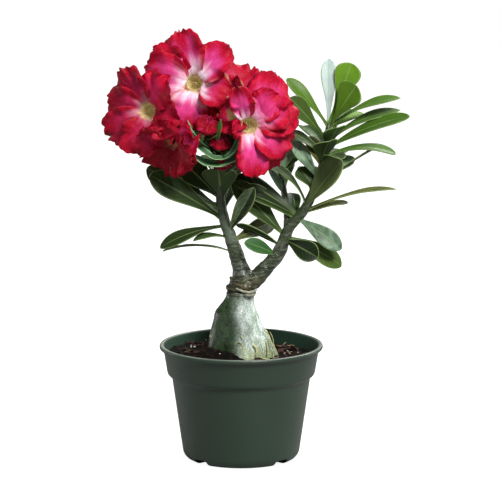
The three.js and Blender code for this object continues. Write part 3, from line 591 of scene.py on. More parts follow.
FORK_LEFT = [
    (0.6, 0, 158.3, 12.9), (1.5, 0, 161.5, 13.4), (2.6, 0, 166, 12.2), (1.4, 0, 172, 10.2),
    (-0.4, 0, 179, 7.9), (-2.2, 0, 185, 7.0), (-3.1, 0, 189, 5.9),
]
FORK_RIGHT = [
    (3, 0, 163, 9), (9.5, 0, 166.5, 8.8), (16.5, 0, 172.4, 7.9), (23.6, 0, 180, 7.1), (27, 0, 184, 5.9),
]
# Ridges of healed bark that half circle the neck, from left to right.
HEALED_RIDGES = [
    [(-11.5, -2, 163, 1.6), (-12, -4.5, 161.6, 2.6), (-6, -10, 160.6, 2.2), (0, -12.6, 159.6, 1.6)],
    [(-9, -4, 172, 1.2), (-8.5, -6, 170, 2.4), (-2, -10.4, 168.2, 1.8), (6, -10, 169.4, 1.4)],
    [(-2, -11, 165, 1.2), (4, -12, 163.2, 1.9), (10, -10, 163.6, 2.2), (14, -5, 163, 1.4)],
    [(3, -9.6, 171.5, 1.2), (8, -9.4, 170.4, 1.7), (13, -6.4, 172.5, 1.3)],
]
WOOD_VOXEL = 0.6


def ridged(t, angle):
    """Rough rings of healed bark and old leaf scars."""
    around = Vector((math.cos(angle), math.sin(angle), 6 * t))
    ring = 0.035 * math.sin(38 * t + 2.2 * math.sin(angle + 1))
    lumps = 0.07 * noise.noise(around * 1.6) + 0.03 * noise.noise(around * 5)
    return 1 + ring * (1.2 - t) + lumps


fork_shape = bmesh.new()
tube(fork_shape, FORK_LEFT, 80, 72, ridged, taper=False)
tube(fork_shape, FORK_RIGHT, 56, 56, ridged, taper=False)
for points in HEALED_RIDGES:
    tube(fork_shape, points, 30, 20, lambda t, angle: 1 + 0.15 * math.sin(19 * t + angle))
# The overlapping tubes grow into one skin, which is then smoothed.
rough_wood = workpiece("rough_wood", fork_shape)
grow = rough_wood.modifiers.new("grow", "REMESH")
grow.mode = "VOXEL"
grow.voxel_size = WOOD_VOXEL * MM
settle = rough_wood.modifiers.new("settle", "SMOOTH")
settle.iterations = 3
settle.factor = 0.5
fork_shape = worked(rough_wood)
for face in fork_shape.faces:
    face.smooth = True

BARK_DARK = (0.010, 0.012, 0.006)
BARK_GREEN = (0.052, 0.070, 0.028)
BARK_SILVER = (0.170, 0.215, 0.160)
BARK_RUST = (0.090, 0.060, 0.022)
BARK_YOUNG = (0.024, 0.042, 0.012)
# Painted highlight down the left limb, in silver: the heights where it fades in and out, and its right edge.
HIGHLIGHT_FROM = (0.200, 0.210)
HIGHLIGHT_TO = (0.222, 0.234)
HIGHLIGHT_LEFT_OF = (-0.002, 0.004)


def bark_material(name, scar_low, scar_high, leafy_from):
    """Scion bark: rusty where it healed, silver-green on the limbs, greener towards the leaves; painted
    highlight on the left limb.
    """
    made, tree, shader = material(name, BARK_GREEN, 0.4, Specular_IOR_Level=0.6)
    patches, grain = speckled(tree, 75, 700)
    rings, fine = speckled(tree, 150, 900, (1, 1, 3.2))
    x, _, height = position(tree)
    bark = mixed(tree, patches, BARK_DARK, BARK_GREEN)
    bark = mixed(tree, spread(tree, rings, 0.5, 1.0, 0.0, 0.6), bark, BARK_SILVER)
    bark = mixed(tree, spread(tree, fine, 0.7, 1.0, 0.0, 0.55), bark, BARK_DARK)
    scar = spread(tree, height, scar_low * MM, scar_high * MM, 0.85, 0.0)
    bark = mixed(tree, times(tree, scar, spread(tree, rings, 0.3, 0.8)), bark, BARK_RUST)
    young = spread(tree, height, leafy_from * MM, (leafy_from + 50) * MM, 0.0, 0.75)
    bark = mixed(tree, young, bark, BARK_YOUNG)
    # Painted highlight: a silver stretch down the left limb.
    stretch = times(tree, spread(tree, height, *HIGHLIGHT_FROM), spread(tree, height, *HIGHLIGHT_TO, 1.0, 0.0))
    limb_highlight = times(tree, stretch, spread(tree, x, *HIGHLIGHT_LEFT_OF, 1.0, 0.0))
    bark = mixed(tree, times(tree, limb_highlight, 0.55), bark, BARK_SILVER)
    relief = maths(tree, "ADD", times(tree, rings, 0.6), times(tree, grain, 0.4))
    feed(tree, shader, bark, bumped(tree, relief, 0.5, 0.7), spread(tree, grain, 0.0, 1.0, 0.24, 0.44))
    return made


scion_bark = bark_material("scion_bark", 163, 178, 215)
piece_of("fork_wood", fork_shape, [scion_bark], "scion_bark", "grafted_fork")

# A pale lip of callus, left where the rootstock's skin rolled over the cut.
GRAFT_LIPS = [
    [(-5, -13.2, 162.6, 0.5), (-1.5, -14, 161.2, 1.0), (3, -14.6, 159.6, 1.3), (8, -13.8, 158.8, 1.4),
     (12.2, -10.6, 159.6, 1.3), (14.4, -6.6, 161, 0.8)],
    [(2, -14, 157.2, 0.6), (6, -13.8, 156.2, 1.2), (10.4, -11.6, 156.2, 1.2), (13.6, -7, 157.4, 0.7)],
]
lip_shape = bmesh.new()
for route in GRAFT_LIPS:
    tube(lip_shape, route, 60, 12, lambda t, angle: 1 + 0.12 * math.sin(31 * t))
smooth_faces(lip_shape)
callus = grained(
    "callus", (0.50, 0.48, 0.38), 0.6,
    colours=((0.10, 0.11, 0.06), (0.40, 0.40, 0.31)), scales=(190, 1300), bump=(0.4, 0.3),
)
piece_of("graft_lip", lip_shape, [callus], "rootstock_bark", "caudex")

# ---- Leafy stems -------------------------------------------------------------------------------
# Two limbs and a side shoot, bare and scarred below and leafy above. The leaves are thick and
# glossy, widest near the tip, with a pale rib and margin. Each grows out of the bark on a short foot.

STEM_LEFT = [
    (-1.8, 0, 179.5, 6.6), (-4.3, 0, 191.7, 6.9), (-7.4, -1, 201, 6.3), (-10.6, -2, 211, 5.8),
    (-14.6, -3, 222, 5.2), (-17.8, -5, 236, 4.6), (-19.4, -7, 251, 4.2), (-20.6, -9, 266, 3.8),
    (-22.4, -11, 280, 3.4),
]
STEM_RIGHT = [
    (19.8, 0, 175.8, 6.6), (29.8, 0, 187, 6.9), (35.4, 0, 194.6, 6.4), (40, 1, 206.4, 5.6),
    (45.4, 2, 218.4, 5.1), (54.4, 2, 228.6, 4.8), (62, 3, 239.8, 4.4), (68.4, 4, 255, 4),
    (73.8, 5, 271, 3.6), (77.4, 6, 287, 3.3), (79.7, 7, 302, 3), (81, 8, 315, 2.6),
]
SIDE_SHOOT = [
    (42.6, 3, 216, 3.6), (42.6, 6, 226, 3.3), (41.4, 9, 238, 3.1), (39.6, 13, 250, 2.9),
    (37.8, 15, 261, 2.6), (36.2, 17, 271, 2.3),
]

# Leaf greens, from deep shade to sunlit and to the pale sheen of a leaf that mirrors the sky.
GREENS = {
    "night": (0.006, 0.015, 0.004),
    "deep": (0.013, 0.027, 0.006),
    "dark": (0.022, 0.044, 0.010),
    "shade": (0.030, 0.052, 0.014),
    "sage": (0.150, 0.220, 0.120),
    "jade": (0.032, 0.105, 0.030),
    "mid": (0.034, 0.088, 0.014),
    "olive": (0.042, 0.078, 0.013),
    "leafy": (0.050, 0.120, 0.012),
    "moss": (0.090, 0.125, 0.042),
    "lush": (0.066, 0.150, 0.008),
    "bright": (0.092, 0.205, 0.009),
    "teal": (0.035, 0.090, 0.048),
    "pale": (0.120, 0.200, 0.130),
    "sky": (0.430, 0.540, 0.540),
    "brown": (0.072, 0.086, 0.018),
    "cup": (0.100, 0.215, 0.120),
    "hollow": (0.060, 0.105, 0.035),
}
# Greens mottled lighter and darker in patches, and the one whose right half is painted in shade.
MOTTLED = ("pale", "sage", "brown")
HALF_SHADED_GREEN = "sage"
SHADED_HALF = 0.2

# Each leaf: how far up its stem it grows (0 to 1), its tip seen from there (mm), its width, the bend
# along its rib, the turn of its face and the fold of its halves (degrees), how far along it is
# widest, and its green.
LEFT_LEAVES = [
    (0.14, (-68, 6, 1), 15, 40, 8, 12, 0.7, "dark"),
    (0.31, (-35, -12, 1), 9, 62, -20, 22, 0.7, "dark"),
    (0.47, (-61, -8, -19), 15, 46, -40, 8, 0.74, "deep"),
    (0.53, (-69, -14, 43), 26, 14, -62, 8, 0.76, "dark"),
    (0.62, (-69, 12, 37), 25, 20, -60, 8, 0.76, "deep"),
    (0.7, (-33, 10, 32), 26, 20, -60, 8, 0.74, "deep"),
    (0.66, (-2, -15, 35), 33, 20, 0, 10, 0.78, "shade"),
    (0.4, (23, -23, 46), 19, 24, 120, 40, 0.72, "sage"),
    (0.3, (39, 33, 11), 18, 24, 50, 10, 0.7, "brown"),
    (0.86, (23, -17, 20), 13, 20, 40, 10, 0.7, "teal"),
    (0.58, (8, 54, 24), 21, 40, 0, 12, 0.7, "dark"),
    (0.76, (34, 34, 26), 20, 36, 0, 10, 0.7, "dark"),
    (0.44, (-22, 44, 18), 18, 30, 0, 12, 0.7, "mid"),
    (0.82, (-12, 54, 18), 20, 44, 0, 10, 0.7, "mid"),
]
RIGHT_LEAVES = [
    (0.14, (-30, -14, 15), 15, 30, -60, 12, 0.7, "jade"),
    (0.22, (-42, 2, 20), 12, 22, 40, 10, 0.7, "deep"),
    (0.27, (31, -22, -13), 21, 36, 60, 20, 0.74, "night"),
    (0.29, (-50, 4, 50), 24, 14, -56, 14, 0.7, "dark"),
    (0.29, (52, 0, -28), 21, 30, 50, 6, 0.7, "olive"),
    (0.43, (41, -14, -26), 18, 32, 60, 8, 0.7, "pale"),
    (0.44, (-61, 12, 35), 22, 34, -40, 8, 0.7, "deep"),
    (0.42, (-50, 2, 30), 20, 24, -40, 10, 0.7, "dark"),
    (0.42, (-3, 40, 18), 14, 30, 0, 10, 0.7, "mid"),
    (0.52, (-36, -4, 41), 16, 56, -20, 12, 0.7, "deep"),
    (0.5, (34, -16, 49), 27, 14, 70, 18, 0.74, "moss"),
    (0.47, (87, -4, 23), 14, 28, 5, 14, 0.72, "brown"),
    (0.46, (44, 8, 10), 13, 22, 12, 10, 0.7, "brown"),
    (0.62, (-13, 10, 19), 19, 30, -30, 8, 0.7, "dark"),
    (0.64, (62, 4, 38), 13, 8, -6, 12, 0.7, "olive"),
    (0.68, (34, 12, 17), 15, 30, 40, 8, 0.7, "pale"),
    (0.68, (-23, 6, 34), 14, 20, -60, 8, 0.7, "pale"),
    (0.72, (6, -26, 31), 25, 24, 10, 14, 0.8, "dark"),
    (0.74, (-12, 8, 27), 14, 20, -40, 10, 0.7, "brown"),
    (0.79, (66, -2, 4), 16, 54, 20, 12, 0.76, "leafy"),
    (0.8, (12, -20, 29), 27, 20, 10, 10, 0.82, "mid"),
    (0.8, (-31, -2, 23), 11, 20, -40, 10, 0.7, "dark"),
    (0.83, (77, -6, 33), 19, 26, 30, 10, 0.72, "leafy"),
    (0.87, (68, 12, 29), 15, 40, 20, 10, 0.7, "leafy"),
    (0.88, (-35, -14, 41), 19, 22, -80, 10, 0.8, "olive"),
    (0.95, (26, -14, 42), 29, 14, 80, 10, 0.84, "lush"),
    (0.96, (-39, 0, 45), 14, 34, -50, 12, 0.78, "lush"),
    (0.96, (66, 2, 28), 14, 40, 20, 12, 0.76, "leafy"),
    (0.95, (33, 25, 11), 12, 30, 20, 12, 0.7, "bright"),
    (0.98, (21, 8, 56), 25, 10, 70, 10, 0.84, "bright"),
    (0.99, (1, 12, 58), 15, 8, 0, 12, 0.76, "sky"),
    (0.6, (-6, 54, 16), 20, 40, 0, 12, 0.7, "mid"),
    (0.7, (26, 58, 14), 20, 40, 0, 12, 0.7, "mid"),
    (0.82, (-20, 56, 16), 19, 36, 0, 12, 0.7, "mid"),
    (0.9, (24, 58, 18), 19, 36, 0, 12, 0.7, "mid"),
    (0.76, (16, -44, 10), 19, 44, 0, 12, 0.7, "dark"),
]
SHOOT_LEAVES = [
    (0.5, (-15, -4, 26), 10, 20, -50, 14, 0.7, "pale"),
    (0.75, (-18, 14, 26), 15, 30, -30, 10, 0.7, "pale"),
    (0.9, (18, 10, 34), 12, 20, 40, 10, 0.7, "pale"),
    (0.6, (4, 38, 24), 17, 40, 0, 12, 0.7, "mid"),
    (0.95, (-10, 22, 30), 15, 30, -10, 10, 0.7, "mid"),
    (0.85, (22, 30, 22), 15, 34, 10, 10, 0.7, "mid"),
]
# The young leaves that cup the buds, one row of rib points each: x, y, z and half width (mm).
CUP_LEAVES = [
    ([(-21, -13, 281, 2), (-16, -34, 287, 2.6), (-26, -38, 288, 4),
      (-34, -40, 294, 5), (-41, -40, 300, 3.6), (-44, -39, 306, 0.5)], "cup"),
    ([(-21, -13, 281, 2), (-16, -34, 287, 2.6), (-9, -37, 291, 4),
      (-5, -38, 296, 5), (-2.5, -37, 303, 3.6), (-4, -35, 311, 0.5)], "cup"),
    ([(-22, -13, 279, 2), (-15, -31, 281, 2.8), (-24, -35, 281, 4.4),
      (-33, -38, 283, 5.2), (-40, -39, 287, 4), (-47, -38, 293, 0.5)], "cup"),
    ([(-21, -13, 279, 2), (-20, -31, 281, 2.8), (-10, -35, 284, 4.4),
      (-4, -36, 288, 5.2), (0, -34, 296, 4), (-0.5, -31, 305, 0.5)], "cup"),
    ([(-20, -14, 281, 2), (-22, -22, 287, 8), (-26, -23, 297, 13),
      (-30, -21, 307, 12), (-33, -18, 318, 0.6)], "hollow"),
    ([(-20, -14, 281, 2), (-16, -22, 287, 8), (-12, -22, 296, 13),
      (-10, -20, 306, 12), (-8, -17, 317, 0.6)], "hollow"),
    ([(-20, -16, 288, 1), (-22, -34, 300, 1.6), (-22, -44, 309, 2.6),
      (-20, -48, 318, 2.6), (-18, -49, 325, 0.4)], "leafy"),
    ([(-24, -16, 288, 1), (-32, -34, 300, 2.5), (-40, -50, 309, 4),
      (-46, -54, 316, 4.4), (-48, -54, 325, 0.4)], "cup"),
]
LEAF_ALONG = 22
LEAF_ACROSS = 10
LEAF_THICKNESS = 0.85
LEAF_FOOT = 1.5
LEAF_SINK = 2.4  # how deep in its stem a leaf begins
LEAF_CROWDING = 1.35  # how much closer its faces lie towards the tip
LEAF_WAVE = 0.45
LEAF_SWAY = 0.02
CUP_MIDDLE = Vector((-20, -30, 312))
CUP_LEAN = math.radians(36)
leaf_rng = random.Random(5)


def tinted_shape():
    """An empty shape whose corners each carry a colour, the tint."""
    bm = bmesh.new()
    bm.verts.layers.float_color.new("tint")
    return bm


def sheet(bm, across, along, place, tint):
    """A smooth sheet of faces, open at its edges, moved to place(u, v)."""
    for face in {f for vert in laid_grid(bm, across, along, place, tint) for f in vert.link_faces}:
        face.smooth = True


def thickened(piece, thickness, under=0):
    """Gives a thin sheet its thickness on both sides, and its underside the next material."""
    wall = piece.modifiers.new("thickness", "SOLIDIFY")
    wall.thickness = thickness * MM
    wall.offset = 0
    wall.material_offset = under


def leaf_half_width(t, widest):
    """Half width of a leaf along its rib, as a share of the widest: broadest past the middle."""
    return math.sin(math.pi * min(0.9985, t) ** (math.log(0.5) / math.log(widest))) ** 0.6


def leaf(bm, stem, row):
    """One leaf on its stem: a grid bent along its rib and folded along it."""
    at, tip, width, bend, turn, fold, widest, green = row
    here = stem(at)
    base, start = here.to_3d(), max(0.0, here[3] - LEAF_SINK)
    chord = Vector(tip)
    length = chord.length
    along = chord.normalized()
    up = (Vector((0, 0, 1)) - along * along.z).normalized()
    aside = along.cross(up)
    face = up * math.cos(math.radians(turn)) + aside * math.sin(math.radians(turn))
    across = along.cross(face)
    half = math.radians(bend) / 2
    tilt = math.radians(fold)
    waves = leaf_rng.uniform(0, 6.3)
    sway = leaf_rng.uniform(-1, 1)
    bright = leaf_rng.uniform(0.85, 1.2)

    def place(u, v):
        t = start / length + (1 - start / length) * (1 - (1 - v) ** LEAF_CROWDING)
        x = 2 * u - 1
        # The rib is an arc that spans the chord.
        angle = 2 * half * t - half
        forward = (math.sin(half) + math.sin(angle)) / (2 * math.sin(half))
        rise = (math.cos(angle) - math.cos(half)) / (2 * math.sin(half))
        normal = face * math.cos(angle) + along * math.sin(angle)
        rib = base + along * length * forward + face * length * rise
        rib += across * LEAF_SWAY * length * sway * t * t
        # The blade narrows to its foot, and its halves fold up with a wavy edge.
        foot = LEAF_FOOT * (1.25 - 0.45 * min(1, 4 * t))
        reach = math.hypot(width / 2 * leaf_half_width(t, widest), foot * max(0, 1 - t**6))
        wave = LEAF_WAVE * x * x * math.sin(9 * t + waves + 1.5 * x)
        lift = abs(x) ** 1.25 * math.sin(tilt) * reach + wave
        return (rib + across * x * reach * math.cos(tilt) + normal * lift) * MM

    def tint(u, v):
        shade = bright * (0.86 + 0.22 * v + 0.06 * abs(2 * u - 1))
        # Painted shade on the right half of the sage leaf.
        if green == HALF_SHADED_GREEN and u > 0.5:
            shade *= SHADED_HALF
        if green in MOTTLED:
            shade *= 1 + 0.9 * noise.noise(Vector((6 * u, 14 * v, waves)))
        return (*(min(1.0, c * shade) for c in GREENS[green]), 1.0)

    sheet(bm, LEAF_ACROSS, LEAF_ALONG, place, tint)


def cup_leaf(bm, points, green):
    """A leaf that curves up round the buds, with its hollow side up and a little to the front."""
    rib = line_through(points)

    def place(u, v):
        x = 2 * u - 1
        here = rib(v)
        spot = here.to_3d()
        along = (rib(min(1, v + 0.02)) - rib(max(0, v - 0.02))).to_3d().normalized()
        inward = level_with(CUP_MIDDLE - spot, along)
        front = level_with(Vector((0, -1, 0)), along)
        face = (inward * math.cos(CUP_LEAN) + front * math.sin(CUP_LEAN)).normalized()
        across = along.cross(face)
        lift = 0.42 * abs(x) ** 1.4 * here[3] + 0.35 * x * x * math.sin(17 * v)
        return (spot + across * x * here[3] + face * lift) * MM

    def tint(u, v):
        edge = 0.55 + 1.9 * abs(2 * u - 1) ** 6
        return (*(edge * c for c in GREENS[green]), 1.0)

    sheet(bm, LEAF_ACROSS, 2 * LEAF_ALONG, place, tint)


def vein_group():
    """Rib, side veins and margin of a leaf, from UVs that run across and along it."""
    tree, given, made = shared_group("leaf_veins", {"UV": "Vector"}, ("Rib", "Veins", "Margin"))
    u, v, _ = node(tree, "SeparateXYZ", {0: given["UV"]}).outputs
    aside = maths(tree, "ABSOLUTE", maths(tree, "SUBTRACT", u, 0.5, clamp=False), clamp=False)
    away = times(tree, aside, 2.0)
    rib_width = spread(tree, v, 0.0, 1.0, 0.15, 0.045)
    rib = spread(tree, maths(tree, "DIVIDE", away, rib_width, clamp=False), 0.5, 1.0, 1.0, 0.0)
    foot = spread(tree, v, 0.0, 0.1, 1.0, 0.0)
    tree.links.new(maths(tree, "MAXIMUM", rib, foot), made["Rib"])
    slant = maths(tree, "MULTIPLY_ADD", away, -0.2, v, clamp=False)
    wave = maths(tree, "SINE", maths(tree, "MULTIPLY", slant, 62.0, clamp=False), clamp=False)
    tree.links.new(spread(tree, wave, 0.72, 1.0), made["Veins"])
    edge = maths(tree, "MAXIMUM", spread(tree, away, 0.9, 0.975), spread(tree, v, 0.955, 0.985))
    tree.links.new(edge, made["Margin"])
    return tree


VEINS = vein_group()
LEAF_WASH = (0.06, 0.10, 0.035)


def own_colour(tree):
    """The colour that each corner carries."""
    return node(tree, "Attribute", attribute_name="tint").outputs["Color"]


def leaf_material(name, rib_colour, rib, margin, roughness, wash=0.0, coat=0.0):
    """A leaf's skin: its own green, washed paler, with a rib, side veins and a margin."""
    made, tree, shader = material(
        name, GREENS["mid"], roughness, Coat_Weight=coat, Coat_Roughness=0.25, Specular_IOR_Level=0.17
    )
    veins = node(tree, "Group", {"UV": node(tree, "TexCoord").outputs["UV"]}, node_tree=VEINS).outputs
    patches, grain = speckled(tree, 110, 1500)
    green = mixed(tree, wash, own_colour(tree), LEAF_WASH)
    lighter = mixed(tree, 1.0, green, (1.5, 1.45, 1.2), "MULTIPLY")
    green = mixed(tree, times(tree, patches, 0.35), green, lighter)
    for vein, strength in (("Veins", 0.05), ("Margin", margin), ("Rib", rib)):
        green = mixed(tree, times(tree, veins[vein], strength), green, rib_colour)
    relief = maths(tree, "ADD", times(tree, veins["Rib"], 0.6), times(tree, veins["Veins"], 0.07))
    relief = maths(tree, "ADD", relief, times(tree, grain, 0.08))
    gloss = spread(tree, grain, 0.0, 1.0, roughness - 0.05, roughness + 0.08)
    feed(tree, shader, green, bumped(tree, relief, 0.5, 0.6), gloss)
    return made


leaf_top = leaf_material("leaf_top", (0.25, 0.36, 0.12), rib=0.36, margin=0.6, roughness=0.42, coat=0.04)
leaf_under = leaf_material("leaf_under", (0.22, 0.30, 0.11), rib=0.55, margin=0.5, roughness=0.45, wash=0.35)
stem_bark = bark_material("stem_bark", 170, 182, 195)


def scarred(t, angle):
    """Leaf scars on a stem: low rings and knuckles."""
    around = Vector((math.cos(angle), math.sin(angle), 14 * t))
    return 1 + 0.05 * noise.noise(around * 1.3) + 0.025 * math.sin(70 * t + 1.5 * math.sin(angle))


def leafy(name, stems, cups, cad_node):
    """Bare stems as one piece and their leaves as another, both standing for one CAD node."""
    wood = bmesh.new()
    blades = tinted_shape()
    for points, rows, along, around in stems:
        tube(wood, points, along, around, scarred)
        line = line_through(points)
        for row in rows:
            leaf(blades, line, row)
    for points, green in cups:
        cup_leaf(blades, points, green)
    smooth_faces(wood, 80)
    piece_of("stem_" + name, wood, [stem_bark], "leaf", cad_node)
    grown = piece_of("leaves_" + name, blades, [leaf_top, leaf_under], "leaf", cad_node)
    thickened(grown, LEAF_THICKNESS, 1)


leafy("left", [(STEM_LEFT, LEFT_LEAVES, 120, 40)], CUP_LEAVES, "leafy_stem_left")
right_stems = [(STEM_RIGHT, RIGHT_LEAVES, 170, 40), (SIDE_SHOOT, SHOOT_LEAVES, 70, 28)]
leafy("right", right_stems, [], "leafy_stem_right")

# ---- Blooms ------------------------------------------------------------------------------------
# Each bloom is a funnel that opens into overlapping petals, twisted one way round like a pinwheel.
# A petal is velvety crimson at its ruffled rim, pink inside and almost white where it meets the
# olive throat. Its clockwise edge lies on top of its neighbour and stays crimson down to the throat.

THROAT_RADIUS = 8.2
TUBE_LENGTH = 26
PETAL_ALONG = 34
PETAL_ACROSS = 30
PETAL_THICKNESS = 0.6
TUBE_THICKNESS = 0.5
# A petal's middle line leaves the throat's edge at THROAT_SLOPE degrees and soon turns outward.
PETAL_STEPS = 60
PETAL_START = (THROAT_RADIUS - 1.6, -4.4)
THROAT_SLOPE = 62
THROAT_TURN = 7

# Each bloom: the middle of its throat, the way it faces, how pale it is at the throat (low on the blooms
# in shade, as painted shade), and its petals: angle round the throat (0 right, 90 up), length, width, lift
# from the bloom's plane, curl of its end, tilt to one side, ruffle height, phase of the ruffle, how much
# of its width stays crimson, how pink its middle is, how dry its rim is, and how lit it is, a low value
# painting the petal in shade.
BLOOMS = {
    "bloom_top": ((-43.5, -36, 356.5), (-0.22, -0.93, 0.24), 1.0, [
        (109, 46, 42, 14, 18, 12, 3.6, 0.4, 0.3, 1.2, 0, 0.95),
        (48, 43, 36, 12, 22, 12, 3.4, 1.7, 0.25, 1.05, 0, 0.95),
        (-14, 32, 34, 8, 26, 12, 3.6, 3.1, 0.5, 0.85, 0.3, 0.7),
        (-98, 41, 38, 8, 28, 12, 3.2, 4.4, 0.3, 0.85, 0, 0.95),
        (166, 44, 42, 16, 22, 12, 3.6, 5.3, 0.5, 1.15, 0, 0.85),
        (144, 46, 34, 2, 12, 8, 2.6, 2.4, 0.8, 0.5, 0, 0.8),
    ]),
    "bloom_left": ((-86, -44, 332), (-0.42, -0.9, 0.06), 0.42, [
        (122, 40, 34, 12, 14, 12, 4.2, 0.9, 0.5, 0.6, 0, 0.5),
        (168, 37, 36, 10, 20, 12, 4.0, 2.2, 0.5, 0.7, 0, 0.45),
        (212, 43, 34, 8, 18, 12, 4.4, 3.6, 0.4, 0.55, 0, 0.5),
        (256, 40, 36, 10, 26, 12, 4.0, 4.9, 0.6, 0.5, 0, 0.45),
        (58, 38, 40, 26, 22, 12, 5.4, 0.2, 0.8, 0.2, 0, 1.1),
        (-14, 36, 38, 28, 18, 12, 5.2, 2.8, 0.9, 0.1, 0, 0.7),
    ]),
    "bloom_low": ((-65, -42, 300.5), (-0.52, -0.66, -0.54), 0.05, [
        (-118, 35, 40, 18, 26, 12, 4.8, 1.2, 1.0, 0, 0, 0.1),
        (-168, 30, 36, 24, 24, 12, 4.8, 2.6, 1.0, 0, 0, 0.25),
        (122, 28, 38, 44, 22, 12, 4.8, 4.1, 1.0, 0, 0, 0.25),
        (14, 27, 32, -6, 14, 12, 4.4, 5.6, 0.5, 1.0, 0, 0.75),
        (58, 33, 36, 22, 12, 12, 4.8, 1.9, 1.0, 0, 0, 0.5),
        (-20, 27, 34, 36, 20, 12, 4.8, 2.2, 0.9, 0.2, 0, 0.3),
        (-60, 26, 34, 30, 28, 12, 4.8, 0.5, 1.0, 0, 0, 0.15),
        (84, 24, 34, 30, 20, 12, 4.8, 3.3, 1.0, 0, 0, 0.3),
    ]),
    "bloom_right": ((8.2, -48, 318.8), (0.22, -0.96, 0.02), 0.85, [
        (60, 49, 38, 2, 14, 12, 3.4, 0.7, 0.3, 0.7, 0, 1.0),
        (14, 43, 34, 8, 18, 12, 4.2, 2.0, 0.6, 0.4, 0, 0.8),
        (42, 36, 42, 20, 16, 12, 3.8, 2.9, 0.25, 0.6, 0, 1.0),
        (-26, 40, 40, 14, 26, 12, 3.8, 3.3, 0.3, 0.75, 0, 0.85),
        (-88, 44, 33, 24, 26, 12, 4.4, 4.6, 0.4, 1.0, 0, 0.85),
        (-54, 44, 36, -6, 16, 0, 3.8, 1.3, 0.6, 0.5, 0, 0.45),
        (112, 40, 22, 26, 2, 12, 3.4, 2.6, 0.4, 0.9, 0.3, 1.0),
        (194, 13, 20, 34, 20, 12, 2.4, 5.8, 0.8, 0.2, 0, 0.7),
    ]),
    "bloom_middle": ((-8.5, -33, 329.5), (-0.45, -0.78, 0.42), 0.15, [
        (84, 34, 34, 48, 8, 12, 3.8, 0.3, 0.35, 1.0, 0.3, 0.9),
        (150, 25, 32, 54, 4, 12, 4.0, 1.8, 0.8, 0.3, 0.5, 0.7),
        (222, 20, 28, 42, 14, 12, 4.6, 3.0, 0.9, 0.3, 0.2, 0.6),
        (-80, 20, 30, 40, 16, 12, 4.8, 4.2, 0.9, 0.3, 0.2, 0.6),
        (20, 18, 24, 62, 4, 12, 3.8, 5.4, 0.9, 0.2, 0.5, 0.8),
        (110, 18, 26, 78, -10, 12, 3.4, 2.4, 0.9, 0.4, 0.6, 0.8),
        (200, 16, 24, 78, -16, 12, 3.4, 4.8, 0.9, 0.4, 0.4, 0.7),
    ]),
    "bloom_back": ((1, 12, 338), (0.05, -0.22, 0.97), 0.6, [
        (62, 32, 32, 56, 20, 12, 3.8, 0.6, 0.7, 0.4, 0, 0.75),
        (118, 36, 34, 60, 16, 12, 3.8, 1.9, 0.7, 0.4, 0, 0.75),
        (190, 28, 30, 28, 24, 12, 3.6, 3.2, 0.7, 0.3, 0, 0.7),
        (262, 22, 26, 34, 24, 12, 3.2, 4.5, 0.7, 0.3, 0, 0.7),
        (-14, 28, 28, 24, 24, 12, 3.6, 5.7, 0.7, 0.3, 0, 0.7),
    ]),
}
CRIMSON = Vector((0.50, 0.0010, 0.026))
DEEP_CRIMSON = Vector((0.24, 0.0004, 0.009))
PINK = Vector((0.80, 0.075, 0.36))
BLUSH = Vector((0.96, 0.74, 0.86))
OLIVE = Vector((0.56, 0.47, 0.23))
STRAW = Vector((0.85, 0.66, 0.36))


def bloom_frame(facing):
    """A bloom's own directions: right and up in its plane, and out of its throat."""
    out = Vector(facing).normalized()
    reference = Vector((0, 1, 0)) if abs(out.z) > 0.85 else Vector((0, 0, 1))
    up = level_with(reference, out)
    return up.cross(out), up, out


def spoke(frame_of, angle):
    """A direction in a bloom's plane, at an angle round its throat."""
    right, up, _ = frame_of
    return right * math.cos(angle) + up * math.sin(angle)


def petal_half_width(s):
    """Half width of a petal along it, as a share of the widest."""
    return math.sin(math.pi * (0.15 + 0.83 * s) ** 1.4) ** 0.5


def eased(value, low, high):
    """0 below low, 1 above high and smooth between."""
    x = min(1.0, max(0.0, (value - low) / (high - low)))
    return x * x * (3 - 2 * x)


def frill(turn, count, seed):
    """Uneven waves round a petal's rim, about count to a radian."""
    return noise.noise(Vector((count * turn, 0.7 * seed, 3.1 * seed)))


